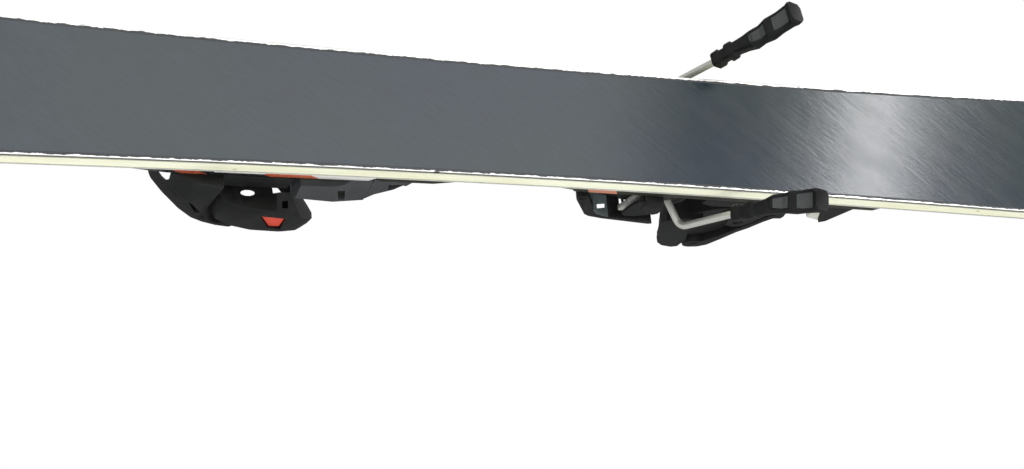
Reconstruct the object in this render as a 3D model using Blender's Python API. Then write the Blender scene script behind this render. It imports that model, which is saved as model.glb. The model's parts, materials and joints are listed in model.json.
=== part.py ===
# Slalom ski with a step-in binding, brake down and heel open.
# Metres. +X points to the tip, +Z up; the origin is under the boot centre on the running base.
import math

import bmesh
import bpy
from mathutils import Vector

MM = 0.001
GAP = 0.0003

# Ski outline
TIP_X = 0.915
TAIL_X = -0.735
WAIST = 0.067
SIDECUT_RADIUS = 12.5
SHOVEL_X = 0.800
TAIL_ROUND_X = -0.690
TIP_CAP_X = 0.862
TAIL_CAP_X = -0.708

# Ski side view
FLAT_HALF = 0.250
FRONT_CONTACT = 0.720
REAR_CONTACT = -0.685
CAMBER = 0.005
TIP_RISE = 0.058
TAIL_RISE = 0.008
THICKNESS = 0.0150
END_THICKNESS = 0.0075

# Layers of the ski
EDGE_HEIGHT = 0.0020
EDGE_WIDTH = 0.0020
LAMINATE = 0.0008
SHEET = 0.0008
WALL_WIDTH = 0.0070

# Plates between ski and binding
PLATE_HEIGHT = 0.0050
PLATE_SIDE_INSET = 0.0002
FRONT_PLATE_FRONT = 0.233
FRONT_PLATE_BACK = 0.097
REAR_PLATE_FRONT = -0.022
REAR_PLATE_BACK = -0.233
PLATE_STEP = 0.003
FRONT_PLATE_RAMP = 0.021
TONGUE_STRIP_BACK = 0.050
TONGUE_STRIP_RAMP = 0.012

PLATE_TOP = THICKNESS + GAP + PLATE_HEIGHT
SEAT = PLATE_TOP + GAP

# Toe piece
TOE_X = 0.142
TRACK_HEIGHT = 0.0050
TOE_TRACK_HALF = 0.030
TOE_TRACK_LENGTH = 0.068
TOE_BODY_LENGTH = 0.059
TOE_FOOT_SETBACK = 0.003
TOE_BODY_HALF = 0.033
TOE_BODY_TOP = 0.0465
WING_PIVOT_X = 0.172
WING_PIVOT_Y = 0.028
WING_TOP = 0.0815
WING_FRONT_RADIUS = 0.0052
WING_PIN_RADIUS = 0.0025
TOE_HOUSING_HALF = 0.022
TOE_BORE_RADIUS = 0.0085
TOE_BORE_Z = 0.0590
COVER_WALL = 0.0045
SCREW_RADIUS = 0.0070
SCREW_HEAD = 0.0040

# Sole plate behind the toe piece
SOLE_Z = 0.0475
AFD_PAD = 0.0035

# Brake
BRAKE_BASE_FRONT = -0.018
BRAKE_BASE_BACK = -0.1080
BRAKE_BASE_HALF = 0.0285
BRAKE_FLOOR = 0.0030
BRAKE_PIVOT_X = -0.0985
BRAKE_PIVOT_Z = 0.042
WIRE_RADIUS = 0.0022
WIRE_HALF_SPAN = BRAKE_BASE_HALF + 0.0160
ARM_END_HALF_SPAN = WIRE_HALF_SPAN + 0.0050
CRANK_HALF_SPAN = 0.0165
PEDAL_PIVOT_X = -0.0340
PEDAL_PIVOT_Z = 0.0270
PEDAL_HALF = BRAKE_BASE_HALF + 0.0065
PEDAL_LEG_INNER = BRAKE_BASE_HALF + 0.0005
PEDAL_PIN_RADIUS = 0.0020
LINK_PIVOT_X = -0.0710
LINK_PIVOT_Z = 0.0290
LINK_LENGTH = 0.0210
LINK_THICK = 0.0026
LINK_Y = BRAKE_BASE_HALF + 0.0025

# Heel piece
HEEL_TRACK_FRONT = -0.1175
HEEL_TRACK_BACK = -0.2255
HEEL_TRACK_HALF = 0.024
HEEL_TRACK_HEIGHT = 0.0065
CARRIAGE_FRONT = -0.1185
CARRIAGE_BACK = -0.1785
CARRIAGE_HALF = 0.031
CARRIAGE_TOP = 0.040
HEEL_PIVOT_X = -0.162
HEEL_PIVOT_Z = 0.068
TOWER_WALL = 0.0045
HEEL_AXLE_RADIUS = 0.0030
HEEL_CORE_HALF = CARRIAGE_HALF - TOWER_WALL - GAP
HEEL_BORE_RADIUS = 0.0085
HEEL_BORE_ANGLE = math.radians(44)
HEEL_PISTON_LENGTH = 0.004
HEEL_COIL_LENGTH = 0.0120
LEVER_X = 0.0050
LEVER_Z = 0.0475
LUG_HALF = 0.0070
LEVER_HALF = 0.0300
LEVER_END_HALF = 0.0306
LEVER_PIN_RADIUS = 0.0018
PRESSURE_TRAVEL = 0.008

# Springs and screws
SPRING_WIRE = 0.0010
SPRING_TURNS = 6
TURN_POINTS = 10
MOUNT_SCREW_RADIUS = 0.0042
ROUND_SIDES = 20

for old in list(bpy.data.objects):
    bpy.data.objects.remove(old)


# Materials
def material(name, colour, roughness, metallic=0.0):
    made = bpy.data.materials.new(name)
    made.use_nodes = True
    shader = made.node_tree.nodes["Principled BSDF"]
    shader.inputs["Base Color"].default_value = (*colour, 1.0)
    shader.inputs["Roughness"].default_value = roughness
    shader.inputs["Metallic"].default_value = metallic
    return made


BASE_BLACK = material("sintered_base", (0.045, 0.055, 0.065), 0.45)
STEEL = material("edge_steel", (0.62, 0.62, 0.60), 0.30, 1.0)
GREY_LAMINATE = material("grey_laminate", (0.42, 0.43, 0.38), 0.50)
WOOD = material("ash_wood", (0.55, 0.38, 0.22), 0.60)
CREAM = material("cream_sidewall", (0.86, 0.85, 0.66), 0.40)
WHITE = material("white_lacquer", (0.85, 0.85, 0.83), 0.25)
ORANGE = material("orange_plastic", (0.80, 0.10, 0.03), 0.35)
BLACK = material("black_plastic", (0.025, 0.026, 0.028), 0.45)
GREY = material("dark_grey_plastic", (0.07, 0.072, 0.078), 0.45)
CHROME = material("chromed_steel", (0.75, 0.75, 0.73), 0.15, 1.0)
PALE = material("pale_plastic", (0.72, 0.72, 0.68), 0.40)
CLEAR = material("window_plastic", (0.60, 0.62, 0.60), 0.10)


# Building blocks
def finish(name, shape, look, place=(0.0, 0.0, 0.0), smooth=None):
    bmesh.ops.recalc_face_normals(shape, faces=shape.faces)
    mesh = bpy.data.meshes.new(name)
    shape.to_mesh(mesh)
    shape.free()
    made = bpy.data.objects.new(name, mesh)
    made.location = place
    made.data.materials.append(look)
    bpy.context.scene.collection.objects.link(made)
    if smooth is not None:
        mesh.shade_smooth()
        mesh.set_sharp_from_angle(angle=math.radians(smooth))
    return made


def rings(shape, loops):
    """Join equal loops of points into one closed skin with flat ends."""
    rows = [[shape.verts.new(point) for point in loop] for loop in loops]
    count = len(rows[0])
    for row, after in zip(rows, rows[1:]):
        for i in range(count):
            j = (i + 1) % count
            shape.faces.new((row[i], row[j], after[j], after[i]))
    shape.faces.new(rows[0])
    shape.faces.new(rows[-1])


def side_block(name, outline, y_low, y_high, look, place=(0.0, 0.0, 0.0)):
    """Push an outline of (x, z) points across the ski."""
    shape = bmesh.new()
    rings(shape, [[(x, y, z) for x, z in outline] for y in (y_low, y_high)])
    return finish(name, shape, look, place)


def plan_block(name, outline, z_low, z_high, look, place=(0.0, 0.0, 0.0)):
    """Push an outline of (x, y) points upwards."""
    shape = bmesh.new()
    rings(shape, [[(x, y, z) for x, y in outline] for z in (z_low, z_high)])
    return finish(name, shape, look, place)


def cross_block(name, outline, x_low, x_high, look, place=(0.0, 0.0, 0.0)):
    """Push an outline of (y, z) points along the ski."""
    shape = bmesh.new()
    rings(shape, [[(x, y, z) for y, z in outline] for x in (x_low, x_high)])
    return finish(name, shape, look, place)


def box_outline(low_a, high_a, low_b, high_b, chamfer=0.0):
    """A rectangle whose two upper corners are cut off."""
    points = [(low_a, low_b), (high_a, low_b)]
    if chamfer:
        points += [(high_a, high_b - chamfer), (high_a - chamfer, high_b)]
        points += [(low_a + chamfer, high_b), (low_a, high_b - chamfer)]
    else:
        points += [(high_a, high_b), (low_a, high_b)]
    return points


def sorted_box(one_y, other_y, z_low, z_high):
    """A rectangle on either side of the middle, from its two y values in any order."""
    return box_outline(min(one_y, other_y), max(one_y, other_y), z_low, z_high)


def rod(name, start, end, radius, look, place=(0.0, 0.0, 0.0), sides=ROUND_SIDES, bore=0.0):
    """A round bar, or a tube where it has a bore."""
    along = Vector(end) - Vector(start)
    turn = along.to_track_quat("Z", "Y")

    def circle(size, point):
        angles = [2 * math.pi * i / sides for i in range(sides)]
        return [turn @ Vector((size * math.cos(a), size * math.sin(a), 0)) + Vector(point) for a in angles]

    shape = bmesh.new()
    if bore:
        loops = [circle(radius, start), circle(radius, end), circle(bore, end), circle(bore, start)]
        rows = [[shape.verts.new(point) for point in loop] for loop in loops]
        for row, after in zip(rows, rows[1:] + rows[:1]):
            for i in range(sides):
                j = (i + 1) % sides
                shape.faces.new((row[i], row[j], after[j], after[i]))
    else:
        rings(shape, [circle(radius, start), circle(radius, end)])
    return finish(name, shape, look, place, smooth=40)


def combine(target, other, operation):
    """Cut, join or intersect with another solid, which becomes a hidden guide."""
    step = target.modifiers.new(other.name, "BOOLEAN")
    step.operation = operation
    step.solver = "EXACT"
    step.object = other
    other.hide_render = True
    other.display_type = "WIRE"
    return target


def cut(target, *others):
    for other in others:
        combine(target, other, "DIFFERENCE")
    return target


def bent_wire(name, points, radius, look, place=(0.0, 0.0, 0.0), resolution=1):
    """A wire through the given points, as a curve with a round section."""
    curve = bpy.data.curves.new(name, "CURVE")
    curve.dimensions = "3D"
    curve.bevel_depth = radius
    curve.bevel_resolution = resolution
    curve.use_fill_caps = True
    line = curve.splines.new("POLY")
    line.points.add(len(points) - 1)
    for spot, point in zip(line.points, points):
        spot.co = (*point, 1.0)
    curve.materials.append(look)
    made = bpy.data.objects.new(name, curve)
    made.location = place
    bpy.context.scene.collection.objects.link(made)
    return made


def rounded_path(corners, radius, steps=4):
    """Replace each inner corner of a path by an arc of the given bend radius."""
    points = [Vector(corners[0])]
    for before, corner, after in zip(corners, corners[1:], corners[2:]):
        corner = Vector(corner)
        back = (Vector(before) - corner).normalized()
        ahead = (Vector(after) - corner).normalized()
        half = back.angle(ahead) / 2
        reach = radius / math.tan(half)
        middle = corner + (back + ahead).normalized() * radius / math.sin(half)
        first = corner + back * reach - middle
        last = corner + ahead * reach - middle
        sweep = first.angle(last)
        for i in range(steps + 1):
            share = i / steps
            a = math.sin((1 - share) * sweep) / math.sin(sweep)
            b = math.sin(share * sweep) / math.sin(sweep)
            points.append(middle + first * a + last * b)
    points.append(Vector(corners[-1]))
    return points


def coil(name, start, end, radius, turns, look, place=(0.0, 0.0, 0.0)):
    """A compression spring wound from start to end."""
    along = Vector(end) - Vector(start)
    turn = along.to_track_quat("Z", "Y")
    points = []
    for i in range(turns * TURN_POINTS + 1):
        angle = 2 * math.pi * i / TURN_POINTS
        around = turn @ Vector((radius * math.cos(angle), radius * math.sin(angle), 0))
        points.append(Vector(start) + along * i / (turns * TURN_POINTS) + around)
    least = min((a - b).length for i, a in enumerate(points) for b in points[i + TURN_POINTS // 2:])
    print(name, "least gap between turns", round((least - 2 * SPRING_WIRE) / MM, 2), "mm")
    return bent_wire(name, points, SPRING_WIRE, look, place, resolution=0)


def mm(points):
    return [tuple(value * MM for value in point) for point in points]


def mirrored(outline, side):
    """Turn a plan outline drawn for the left side (+Y) to either side."""
    return [(x, side * y) for x, y in outline]


def mirrored_section(outline, side):
    """Turn a cross section of (y, z) drawn for the left side (+Y) to either side."""
    return [(side * y, z) for y, z in outline]


# Ski shape
def clamp(value, low=0.0, high=1.0):
    return max(low, min(high, value))


def half_width(x):
    half = (WAIST + x * x / SIDECUT_RADIUS) / 2
    if x > SHOVEL_X:
        u = (x - SHOVEL_X) / (TIP_X - SHOVEL_X)
        return half * math.sqrt(max(0.0, 1 - u ** 2.4))
    if x < TAIL_ROUND_X:
        u = (x - TAIL_ROUND_X) / (TAIL_X - TAIL_ROUND_X)
        return half * math.sqrt(max(0.0, 1 - u ** 3.2))
    return half


def contact_share(x):
    """0 on the flat under the boot, 1 at the contact points near the ends."""
    contact = FRONT_CONTACT if x > 0 else -REAR_CONTACT
    return clamp((abs(x) - FLAT_HALF) / (contact - FLAT_HALF))


def base_height(x):
    t = contact_share(x)
    height = -CAMBER * t * t * (3 - 2 * t)
    if x > FRONT_CONTACT:
        height += TIP_RISE * ((x - FRONT_CONTACT) / (TIP_X - FRONT_CONTACT)) ** 2
    if x < REAR_CONTACT:
        height += TAIL_RISE * ((x - REAR_CONTACT) / (TAIL_X - REAR_CONTACT)) ** 2
    return height


def thickness(x):
    t = contact_share(x)
    return THICKNESS + (END_THICKNESS - THICKNESS) * t * t * (3 - 2 * t)


def stations(start, end, count):
    return [start + (end - start) * i / count for i in range(count + 1)]


def ski_band(name, xs, inner, outer, low, high, look):
    """One layer of the ski: its sides and faces are functions of x."""
    shape = bmesh.new()
    loops = []
    for x in xs:
        z = base_height(x)
        y0 = inner(x)
        y1 = outer(x)
        z0 = z + low(x)
        z1 = z + high(x)
        loops.append([(x, y0, z0), (x, y1, z0), (x, y1, z1), (x, y0, z1)])
    rings(shape, loops)
    return finish(name, shape, look)


CORE_LOW = EDGE_HEIGHT + LAMINATE + 2 * GAP
CORE_COVER = SHEET + LAMINATE + 2 * GAP

body_xs = stations(TAIL_CAP_X + GAP, TAIL_ROUND_X, 3)[:-1]
body_xs += stations(TAIL_ROUND_X, -FLAT_HALF, 10)[:-1]
body_xs += stations(-FLAT_HALF, FLAT_HALF, 10)[:-1]
body_xs += stations(FLAT_HALF, FRONT_CONTACT, 10)[:-1]
body_xs += stations(FRONT_CONTACT, SHOVEL_X, 5)[:-1]
body_xs += stations(SHOVEL_X, TIP_CAP_X - GAP, 7)
core_xs = [x for x in body_xs if TAIL_ROUND_X <= x <= SHOVEL_X]


def constant(value):
    return lambda x: value


def layer(name, xs, side_inset, low, high, look):
    return ski_band(
        name, xs, lambda x: side_inset - half_width(x),
        lambda x: half_width(x) - side_inset, low, high, look)


layer("base_sheet", body_xs, EDGE_WIDTH + GAP, constant(0.0), constant(EDGE_HEIGHT), BASE_BLACK)
layer("lower_laminate", body_xs, 0.0, constant(EDGE_HEIGHT + GAP), constant(CORE_LOW - GAP), GREY_LAMINATE)
wood_core = layer("wood_core", core_xs, WALL_WIDTH + GAP, constant(CORE_LOW),
                  lambda x: thickness(x) - CORE_COVER, WOOD)
upper_laminate = layer("upper_laminate", body_xs, 0.0, lambda x: thickness(x) - CORE_COVER + GAP,
                       lambda x: thickness(x) - SHEET - GAP, GREY_LAMINATE)
top_sheet = layer("top_sheet", body_xs, 0.0, lambda x: thickness(x) - SHEET, thickness, WHITE)

for label, side in (("left", 1), ("right", -1)):
    ski_band("steel_edge_" + label, body_xs, lambda x: side * (half_width(x) - EDGE_WIDTH),
             lambda x: side * half_width(x), constant(0.0), constant(EDGE_HEIGHT), STEEL)
    ski_band("sidewall_" + label, core_xs, lambda x: side * (half_width(x) - WALL_WIDTH),
             lambda x: side * half_width(x), constant(CORE_LOW), lambda x: thickness(x) - CORE_COVER, CREAM)

tip_xs = [x for x in body_xs if x > SHOVEL_X]
tip_xs = [SHOVEL_X + GAP] + tip_xs
tail_xs = [x for x in body_xs if x < TAIL_ROUND_X]
tail_xs = tail_xs + [TAIL_ROUND_X - GAP]
layer("tip_spacer", tip_xs, 0.0, constant(CORE_LOW), lambda x: thickness(x) - CORE_COVER, BLACK)
layer("tail_spacer", tail_xs, 0.0, constant(CORE_LOW), lambda x: thickness(x) - CORE_COVER, BLACK)


def end_cap(name, start, end, look):
    """Moulded end of the ski: stations crowd towards the very end, where the outline turns."""
    steps = 9
    xs = [start + (end - start) * 0.9995 * math.sin(math.pi / 2 * i / steps) for i in range(steps + 1)]
    return layer(name, xs, 0.0, constant(0.0), constant(END_THICKNESS), look)


end_cap("tip_protector", TIP_CAP_X, TIP_X, BLACK)
end_cap("tail_protector", TAIL_CAP_X, TAIL_X, BLACK)


# Plates glued on the ski under the binding
def plate_half(x):
    return half_width(x) - PLATE_SIDE_INSET


def plate(name, back, front, back_ramp, front_ramp, look):
    """A plate as wide as the ski all along, with a ramp at each end."""
    edge = PLATE_HEIGHT * 0.04
    xs = [back, back + back_ramp] + stations(back + back_ramp, front - front_ramp, 6)[1:] + [front]
    tops = [edge] + [PLATE_HEIGHT] * (len(xs) - 2) + [edge]
    shape = bmesh.new()
    low = THICKNESS + GAP
    loops = [[(x, -plate_half(x), low), (x, plate_half(x), low), (x, plate_half(x), low + top),
              (x, -plate_half(x), low + top)] for x, top in zip(xs, tops)]
    rings(shape, loops)
    return finish(name, shape, look)


plate("front_plate", FRONT_PLATE_BACK, FRONT_PLATE_FRONT, PLATE_STEP, FRONT_PLATE_RAMP, WHITE)
rear_plate = plate("rear_plate", REAR_PLATE_BACK, REAR_PLATE_FRONT, PLATE_STEP, PLATE_STEP, BLACK)

# Toe track and body
TOE_BODY_BACK = TOE_X - 0.002
TOE_BODY_FRONT = TOE_BODY_BACK + TOE_BODY_LENGTH
TOE_TRACK_BACK = TOE_BODY_BACK - TOE_FOOT_SETBACK
TRACK_TOP = SEAT + TRACK_HEIGHT
toe_track = cross_block(
    "toe_track", box_outline(-TOE_TRACK_HALF, TOE_TRACK_HALF, SEAT, TRACK_TOP, 0.0015),
    TOE_TRACK_BACK, TOE_TRACK_BACK + TOE_TRACK_LENGTH, BLACK)
BODY_LOW = TRACK_TOP + GAP
toe_body = cross_block(
    "toe_body", box_outline(-TOE_BODY_HALF, TOE_BODY_HALF, BODY_LOW, TOE_BODY_TOP, 0.0045),
    TOE_BODY_BACK, TOE_BODY_FRONT, BLACK)

# Toe spring housing: a side outline crossed with a ridge section
HOUSING_LOW = TOE_BODY_TOP + GAP
HOUSING_SIDE = mm([(0, 0), (54, 0), (54, 5), (47, 13), (40, 20), (31, 27), (22, 32), (14, 34),
                   (3, 34), (0, 31)])
housing_place = (TOE_BODY_BACK + TOE_FOOT_SETBACK, 0.0, HOUSING_LOW)
HOUSING_HEIGHT = 0.034
RIDGE_HALF = 0.013
SHOULDER = 0.015
toe_housing = side_block("toe_housing", HOUSING_SIDE, -0.04, 0.04, BLACK, housing_place)
housing_section = cross_block(
    "toe_housing_section",
    [(-TOE_HOUSING_HALF, -0.01), (TOE_HOUSING_HALF, -0.01), (TOE_HOUSING_HALF, SHOULDER),
     (RIDGE_HALF + 0.003, HOUSING_HEIGHT - 0.004), (RIDGE_HALF, HOUSING_HEIGHT + 0.002),
     (-RIDGE_HALF, HOUSING_HEIGHT + 0.002), (-RIDGE_HALF - 0.003, HOUSING_HEIGHT - 0.004),
     (-TOE_HOUSING_HALF, SHOULDER)],
    -0.01, 0.07, BLACK, housing_place)
combine(toe_housing, housing_section, "INTERSECT")
BORE_BACK = TOE_BODY_BACK + 0.011
toe_bore = rod("toe_bore", (BORE_BACK, 0, TOE_BORE_Z), (TOE_BODY_FRONT + 0.02, 0, TOE_BORE_Z),
               TOE_BORE_RADIUS, BLACK)
WINDOW_X = TOE_BODY_BACK + 0.026
WINDOW_LENGTH = 0.014
WINDOW_HALF = 0.004
HOUSING_TOP = HOUSING_LOW + HOUSING_HEIGHT
toe_slot = plan_block(
    "toe_window_slot",
    [(WINDOW_X - WINDOW_LENGTH / 2, -WINDOW_HALF), (WINDOW_X + WINDOW_LENGTH / 2, -WINDOW_HALF),
     (WINDOW_X + WINDOW_LENGTH / 2, WINDOW_HALF), (WINDOW_X - WINDOW_LENGTH / 2, WINDOW_HALF)],
    TOE_BORE_Z, HOUSING_TOP + 0.01, BLACK)
cut(toe_housing, toe_bore, toe_slot)

# Toe spring train inside the bore: thrust piston, spring, nut with the setting indicator, screw
PISTON_RADIUS = TOE_BORE_RADIUS - 0.0005
PISTON_LENGTH = 0.005
rod("toe_piston", (BORE_BACK + GAP, 0, TOE_BORE_Z), (BORE_BACK + GAP + PISTON_LENGTH, 0, TOE_BORE_Z),
    PISTON_RADIUS, STEEL)
NUT_X = WINDOW_X + 0.001
NUT_LENGTH = 0.004
SPRING_START = BORE_BACK + PISTON_LENGTH + SPRING_WIRE + 2 * GAP
rod("toe_nut", (NUT_X, 0, TOE_BORE_Z), (NUT_X + NUT_LENGTH, 0, TOE_BORE_Z), PISTON_RADIUS, ORANGE,
    bore=0.0035)
coil("toe_spring", (SPRING_START, 0, TOE_BORE_Z), (NUT_X - SPRING_WIRE - GAP, 0, TOE_BORE_Z),
     PISTON_RADIUS - SPRING_WIRE, 3, STEEL)
SCREW_TIP = NUT_X - 0.006
SCREW_HEAD_X = NUT_X + NUT_LENGTH + 0.014


def slotted_screw(name, head, tip, look, head_radius=SCREW_RADIUS, stem_radius=0.0030):
    """A setting screw: its origin is at its head, and its axis runs from tip to head."""
    head = Vector(head)
    back = Vector(tip) - head
    inward = back.normalized()
    made = rod(name, (0, 0, 0), inward * SCREW_HEAD, head_radius, look, head)
    stem = rod(name + "_stem", inward * SCREW_HEAD * 0.5, back, stem_radius, look, head, sides=12)
    combine(made, stem, "UNION")
    half = head_radius * 0.75
    blade = 0.0008
    depth = SCREW_HEAD * 0.5
    across = Vector((0, 1, 0))
    upward = across.cross(inward)
    for tag, wide, thin in (("_slot", across, upward), ("_cross", upward, across)):
        shape = bmesh.new()
        corners = [(-half, -blade), (half, -blade), (half, blade), (-half, blade)]
        loops = []
        for reach in (-0.001, depth):
            loops.append([wide * a + thin * b + inward * reach for a, b in corners])
        rings(shape, loops)
        cut(made, finish(name + tag, shape, look, head))
    return made


slotted_screw("toe_setting_screw", (SCREW_HEAD_X, 0, TOE_BORE_Z), (SCREW_TIP, 0, TOE_BORE_Z), CHROME)
plan_block("toe_window",
           [(WINDOW_X - WINDOW_LENGTH / 2 + GAP, -WINDOW_HALF + GAP),
            (WINDOW_X + WINDOW_LENGTH / 2 - GAP, -WINDOW_HALF + GAP),
            (WINDOW_X + WINDOW_LENGTH / 2 - GAP, WINDOW_HALF - GAP),
            (WINDOW_X - WINDOW_LENGTH / 2 + GAP, WINDOW_HALF - GAP)],
           HOUSING_TOP - 0.0035, HOUSING_TOP - 0.0010, CLEAR)

# Nose cover: a bow round the front whose cheeks lie outside the toe body
COVER_FRONT_INNER = TOE_BODY_BACK + TOE_TRACK_LENGTH + 0.002
NOSE_X = COVER_FRONT_INNER + 0.012
CHEEK_BACK = WING_PIVOT_X + 0.0095
COVER_INNER = TOE_BODY_HALF + GAP
toe_cover = side_block(
    "toe_cover",
    [(CHEEK_BACK, SEAT), (NOSE_X, SEAT), (NOSE_X, SEAT + 0.004), (NOSE_X - 0.005, 0.036),
     (NOSE_X - 0.014, 0.0490), (NOSE_X - 0.026, 0.0630), (NOSE_X - 0.035, 0.0725),
     (NOSE_X - 0.044, 0.0800), (NOSE_X - 0.053, 0.0850), (NOSE_X - 0.061, 0.0870),
     (NOSE_X - 0.0625, 0.0855), (NOSE_X - 0.0600, 0.0830), (NOSE_X - 0.0510, 0.0805),
     (CHEEK_BACK - 0.002, 0.0750), (CHEEK_BACK, 0.0710)],
    -0.05, 0.05, BLACK)
COVER_PLAN = [(NOSE_X - 0.070, COVER_INNER + COVER_WALL + 0.0037),
              (CHEEK_BACK + 0.004, COVER_INNER + COVER_WALL + 0.0037),
              (CHEEK_BACK + 0.014, COVER_INNER + COVER_WALL + 0.0020),
              (NOSE_X - 0.014, COVER_INNER + 0.0025), (NOSE_X - 0.003, COVER_INNER - 0.001),
              (NOSE_X + 0.001, COVER_INNER - 0.006)]
OPENING_PLAN = [(NOSE_X - 0.075, COVER_INNER), (COVER_FRONT_INNER - 0.006, COVER_INNER),
                (COVER_FRONT_INNER, COVER_INNER - 0.006)]
cover_outer = plan_block(
    "toe_cover_plan", COVER_PLAN + [(x, -y) for x, y in reversed(COVER_PLAN)], 0.0, 0.1, BLACK)
cover_hollow = plan_block(
    "toe_cover_hollow", OPENING_PLAN + [(x, -y) for x, y in reversed(OPENING_PLAN)], 0.0, 0.1, BLACK)
combine(toe_cover, cover_outer, "INTERSECT")
cut(toe_cover, cover_hollow)


TOE_SLANT = (-0.27, 0.325, 0.905)
PEDAL_SLANT = (-0.446, 0.297, 0.844)


def slanted_cut(name, outline, side, reach_out, reach_in, slant=TOE_SLANT):
    """A guide for a hole that rises inwards, from an outline of (x, y, z) points on the right side."""
    shape = bmesh.new()
    loops = []
    for reach in (-reach_out, reach_in):
        loops.append([(x + slant[0] * reach, side * -(y + slant[1] * reach), z + slant[2] * reach)
                      for x, y, z in outline])
    rings(shape, loops)
    return finish(name, shape, BLACK)


NOSE_WINDOW = [(NOSE_X + x, -0.033, z) for x, z in mm([(-5.2, 23.5), (-13.2, 23.5), (-15.2, 36.0),
                                                      (-13.6, 37.4), (-9.8, 32.0)])]
for label, side in (("left", 1), ("right", -1)):
    cut(toe_cover, slanted_cut("nose_window_" + label, NOSE_WINDOW, side, 0.012, 0.060))
SLIT_SIDE = [(NOSE_X - 0.0290, 0.0520), (NOSE_X - 0.0315, 0.0530), (NOSE_X - 0.0390, 0.0640),
             (NOSE_X - 0.0365, 0.0655)]
cut(toe_cover, side_block("toe_cover_slits", SLIT_SIDE, -0.06, 0.06, BLACK))

# Wings: plan outline crossed with side outline, measured from the pivot (forward, outward / up)
WING_LOW = TOE_BODY_TOP + GAP
WING_PLAN = mm([(6.2, 3.0), (5.0, 8.0), (0.0, 13.0), (-8, 15.0), (-22, 16.6), (-38, 17.0), (-48, 16.2),
                (-54, 13.0), (-54.5, 10.0), (-50, 6.5), (-45, 3.2), (-38, -0.6), (-32, -4.4)])
FRONT_ARC = [(WING_FRONT_RADIUS * math.sin(a), -WING_FRONT_RADIUS * math.cos(a))
             for a in (math.radians(18 * i) for i in range(6))]
WING_SIDE = [(0.010, WING_LOW), (-0.0355, WING_LOW), (-0.0480, 0.0600), (-0.0540, 0.0668),
             (-0.0545, 0.0750), (-0.0505, 0.0795), (-0.041, WING_TOP), (-0.022, WING_TOP),
             (-0.008, 0.0790), (0.004, 0.0720), (0.010, 0.0660)]
INSERT_SIDE = [(-0.0205, 0.0572), (-0.0365, 0.0585), (-0.0380, 0.0768), (-0.0310, 0.0768)]
WING_HOLE = [(0.1568 + 0.0043 * math.cos(a), -0.0303 + 0.0019 * math.sin(a), 0.060)
             for a in (math.radians(36 * i) for i in range(10))]
CLAW_HOLE = [(x, y, 0.060) for x, y in mm([(142.8, -26.2), (142.4, -29.9), (137.4, -28.8), (139.4, -26.3)])]
INSERT_DEPTH = 0.0030
TUCK_FRONT = -0.0275
TUCK_SECTION = mm([(2.0, 44.0), (5.5, 46.8), (17.8, 56.5), (30.0, 56.5), (30.0, 44.0)])
POCKET = [(x, y, 0.0505) for x, y in mm([(140.3, -37.4), (136.9, -37.0), (136.9, -41.4), (140.4, -41.6)])]


def wing(label, side):
    pivot = (WING_PIVOT_X, side * WING_PIVOT_Y, 0.0)
    outer = WING_PIVOT_Y + 0.017
    plan = mirrored(WING_PLAN + FRONT_ARC, side)
    body = plan_block("toe_wing_" + label, plan, WING_LOW, WING_TOP, BLACK, pivot)
    section = side_block("toe_wing_section_" + label, WING_SIDE, -0.03, 0.03, BLACK, pivot)
    combine(body, section, "INTERSECT")
    face = side * (outer - WING_PIVOT_Y - INSERT_DEPTH)
    recess = side_block("wing_recess_" + label, INSERT_SIDE, face, side * 0.03, BLACK, pivot)
    tuck_section = mirrored_section(TUCK_SECTION, side)
    tuck = cross_block("wing_tuck_" + label, tuck_section, -0.060, TUCK_FRONT, BLACK, pivot)
    pocket = slanted_cut("wing_pocket_" + label, POCKET, side, 0.015, 0.006)
    bore = rod("wing_bore_" + label, (0, 0, 0), (0, 0, 0.1), WING_PIN_RADIUS + GAP, BLACK, pivot)
    holes = [slanted_cut(tag + label, outline, side, 0.030, 0.040)
             for tag, outline in (("wing_hole_", WING_HOLE), ("claw_hole_", CLAW_HOLE))]
    cut(body, tuck, recess, pocket, bore, *holes)
    centre_x = sum(x for x, z in INSERT_SIDE) / len(INSERT_SIDE)
    centre_z = sum(z for x, z in INSERT_SIDE) / len(INSERT_SIDE)
    small = [(centre_x + (x - centre_x) * 0.90, centre_z + (z - centre_z) * 0.90) for x, z in INSERT_SIDE]
    side_block("wing_insert_" + label, small, face + side * GAP, face + side * (INSERT_DEPTH - 0.0012),
               ORANGE, pivot)
    pin_bore = rod("pin_bore_" + label, (0, 0, WING_LOW - 0.012), (0, 0, WING_LOW + 0.01),
                   WING_PIN_RADIUS + GAP, BLACK, pivot)
    cut(toe_body, pin_bore)
    rod("wing_pin_" + label, (0, 0, WING_LOW - 0.0117), (0, 0, 0.0755), WING_PIN_RADIUS, CHROME, pivot)
    return body


wing("left", 1)
wing("right", -1)

# Sole plate behind the toe piece: a wedge that narrows and drops towards the heel
AFD_FRONT = TOE_BODY_BACK - 0.0034
AFD_TOP = SOLE_Z - AFD_PAD - GAP
SHOULDER_DROP = 0.005
TOP_INSET = 0.003
SOLE_STATIONS = ((AFD_FRONT, 0.0395, AFD_TOP), (0.1150, 0.0405, AFD_TOP),
                 (FRONT_PLATE_BACK, 0.0385, AFD_TOP))
SEAM_X = FRONT_PLATE_BACK - GAP
TONGUE_STATIONS = ((SEAM_X, 0.0380, 0.0425), (0.0918, 0.0362, 0.0400), (0.0817, 0.0345, 0.0350),
                   (0.0760, 0.0338, 0.0300), (0.0735, 0.0332, 0.0245))


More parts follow.
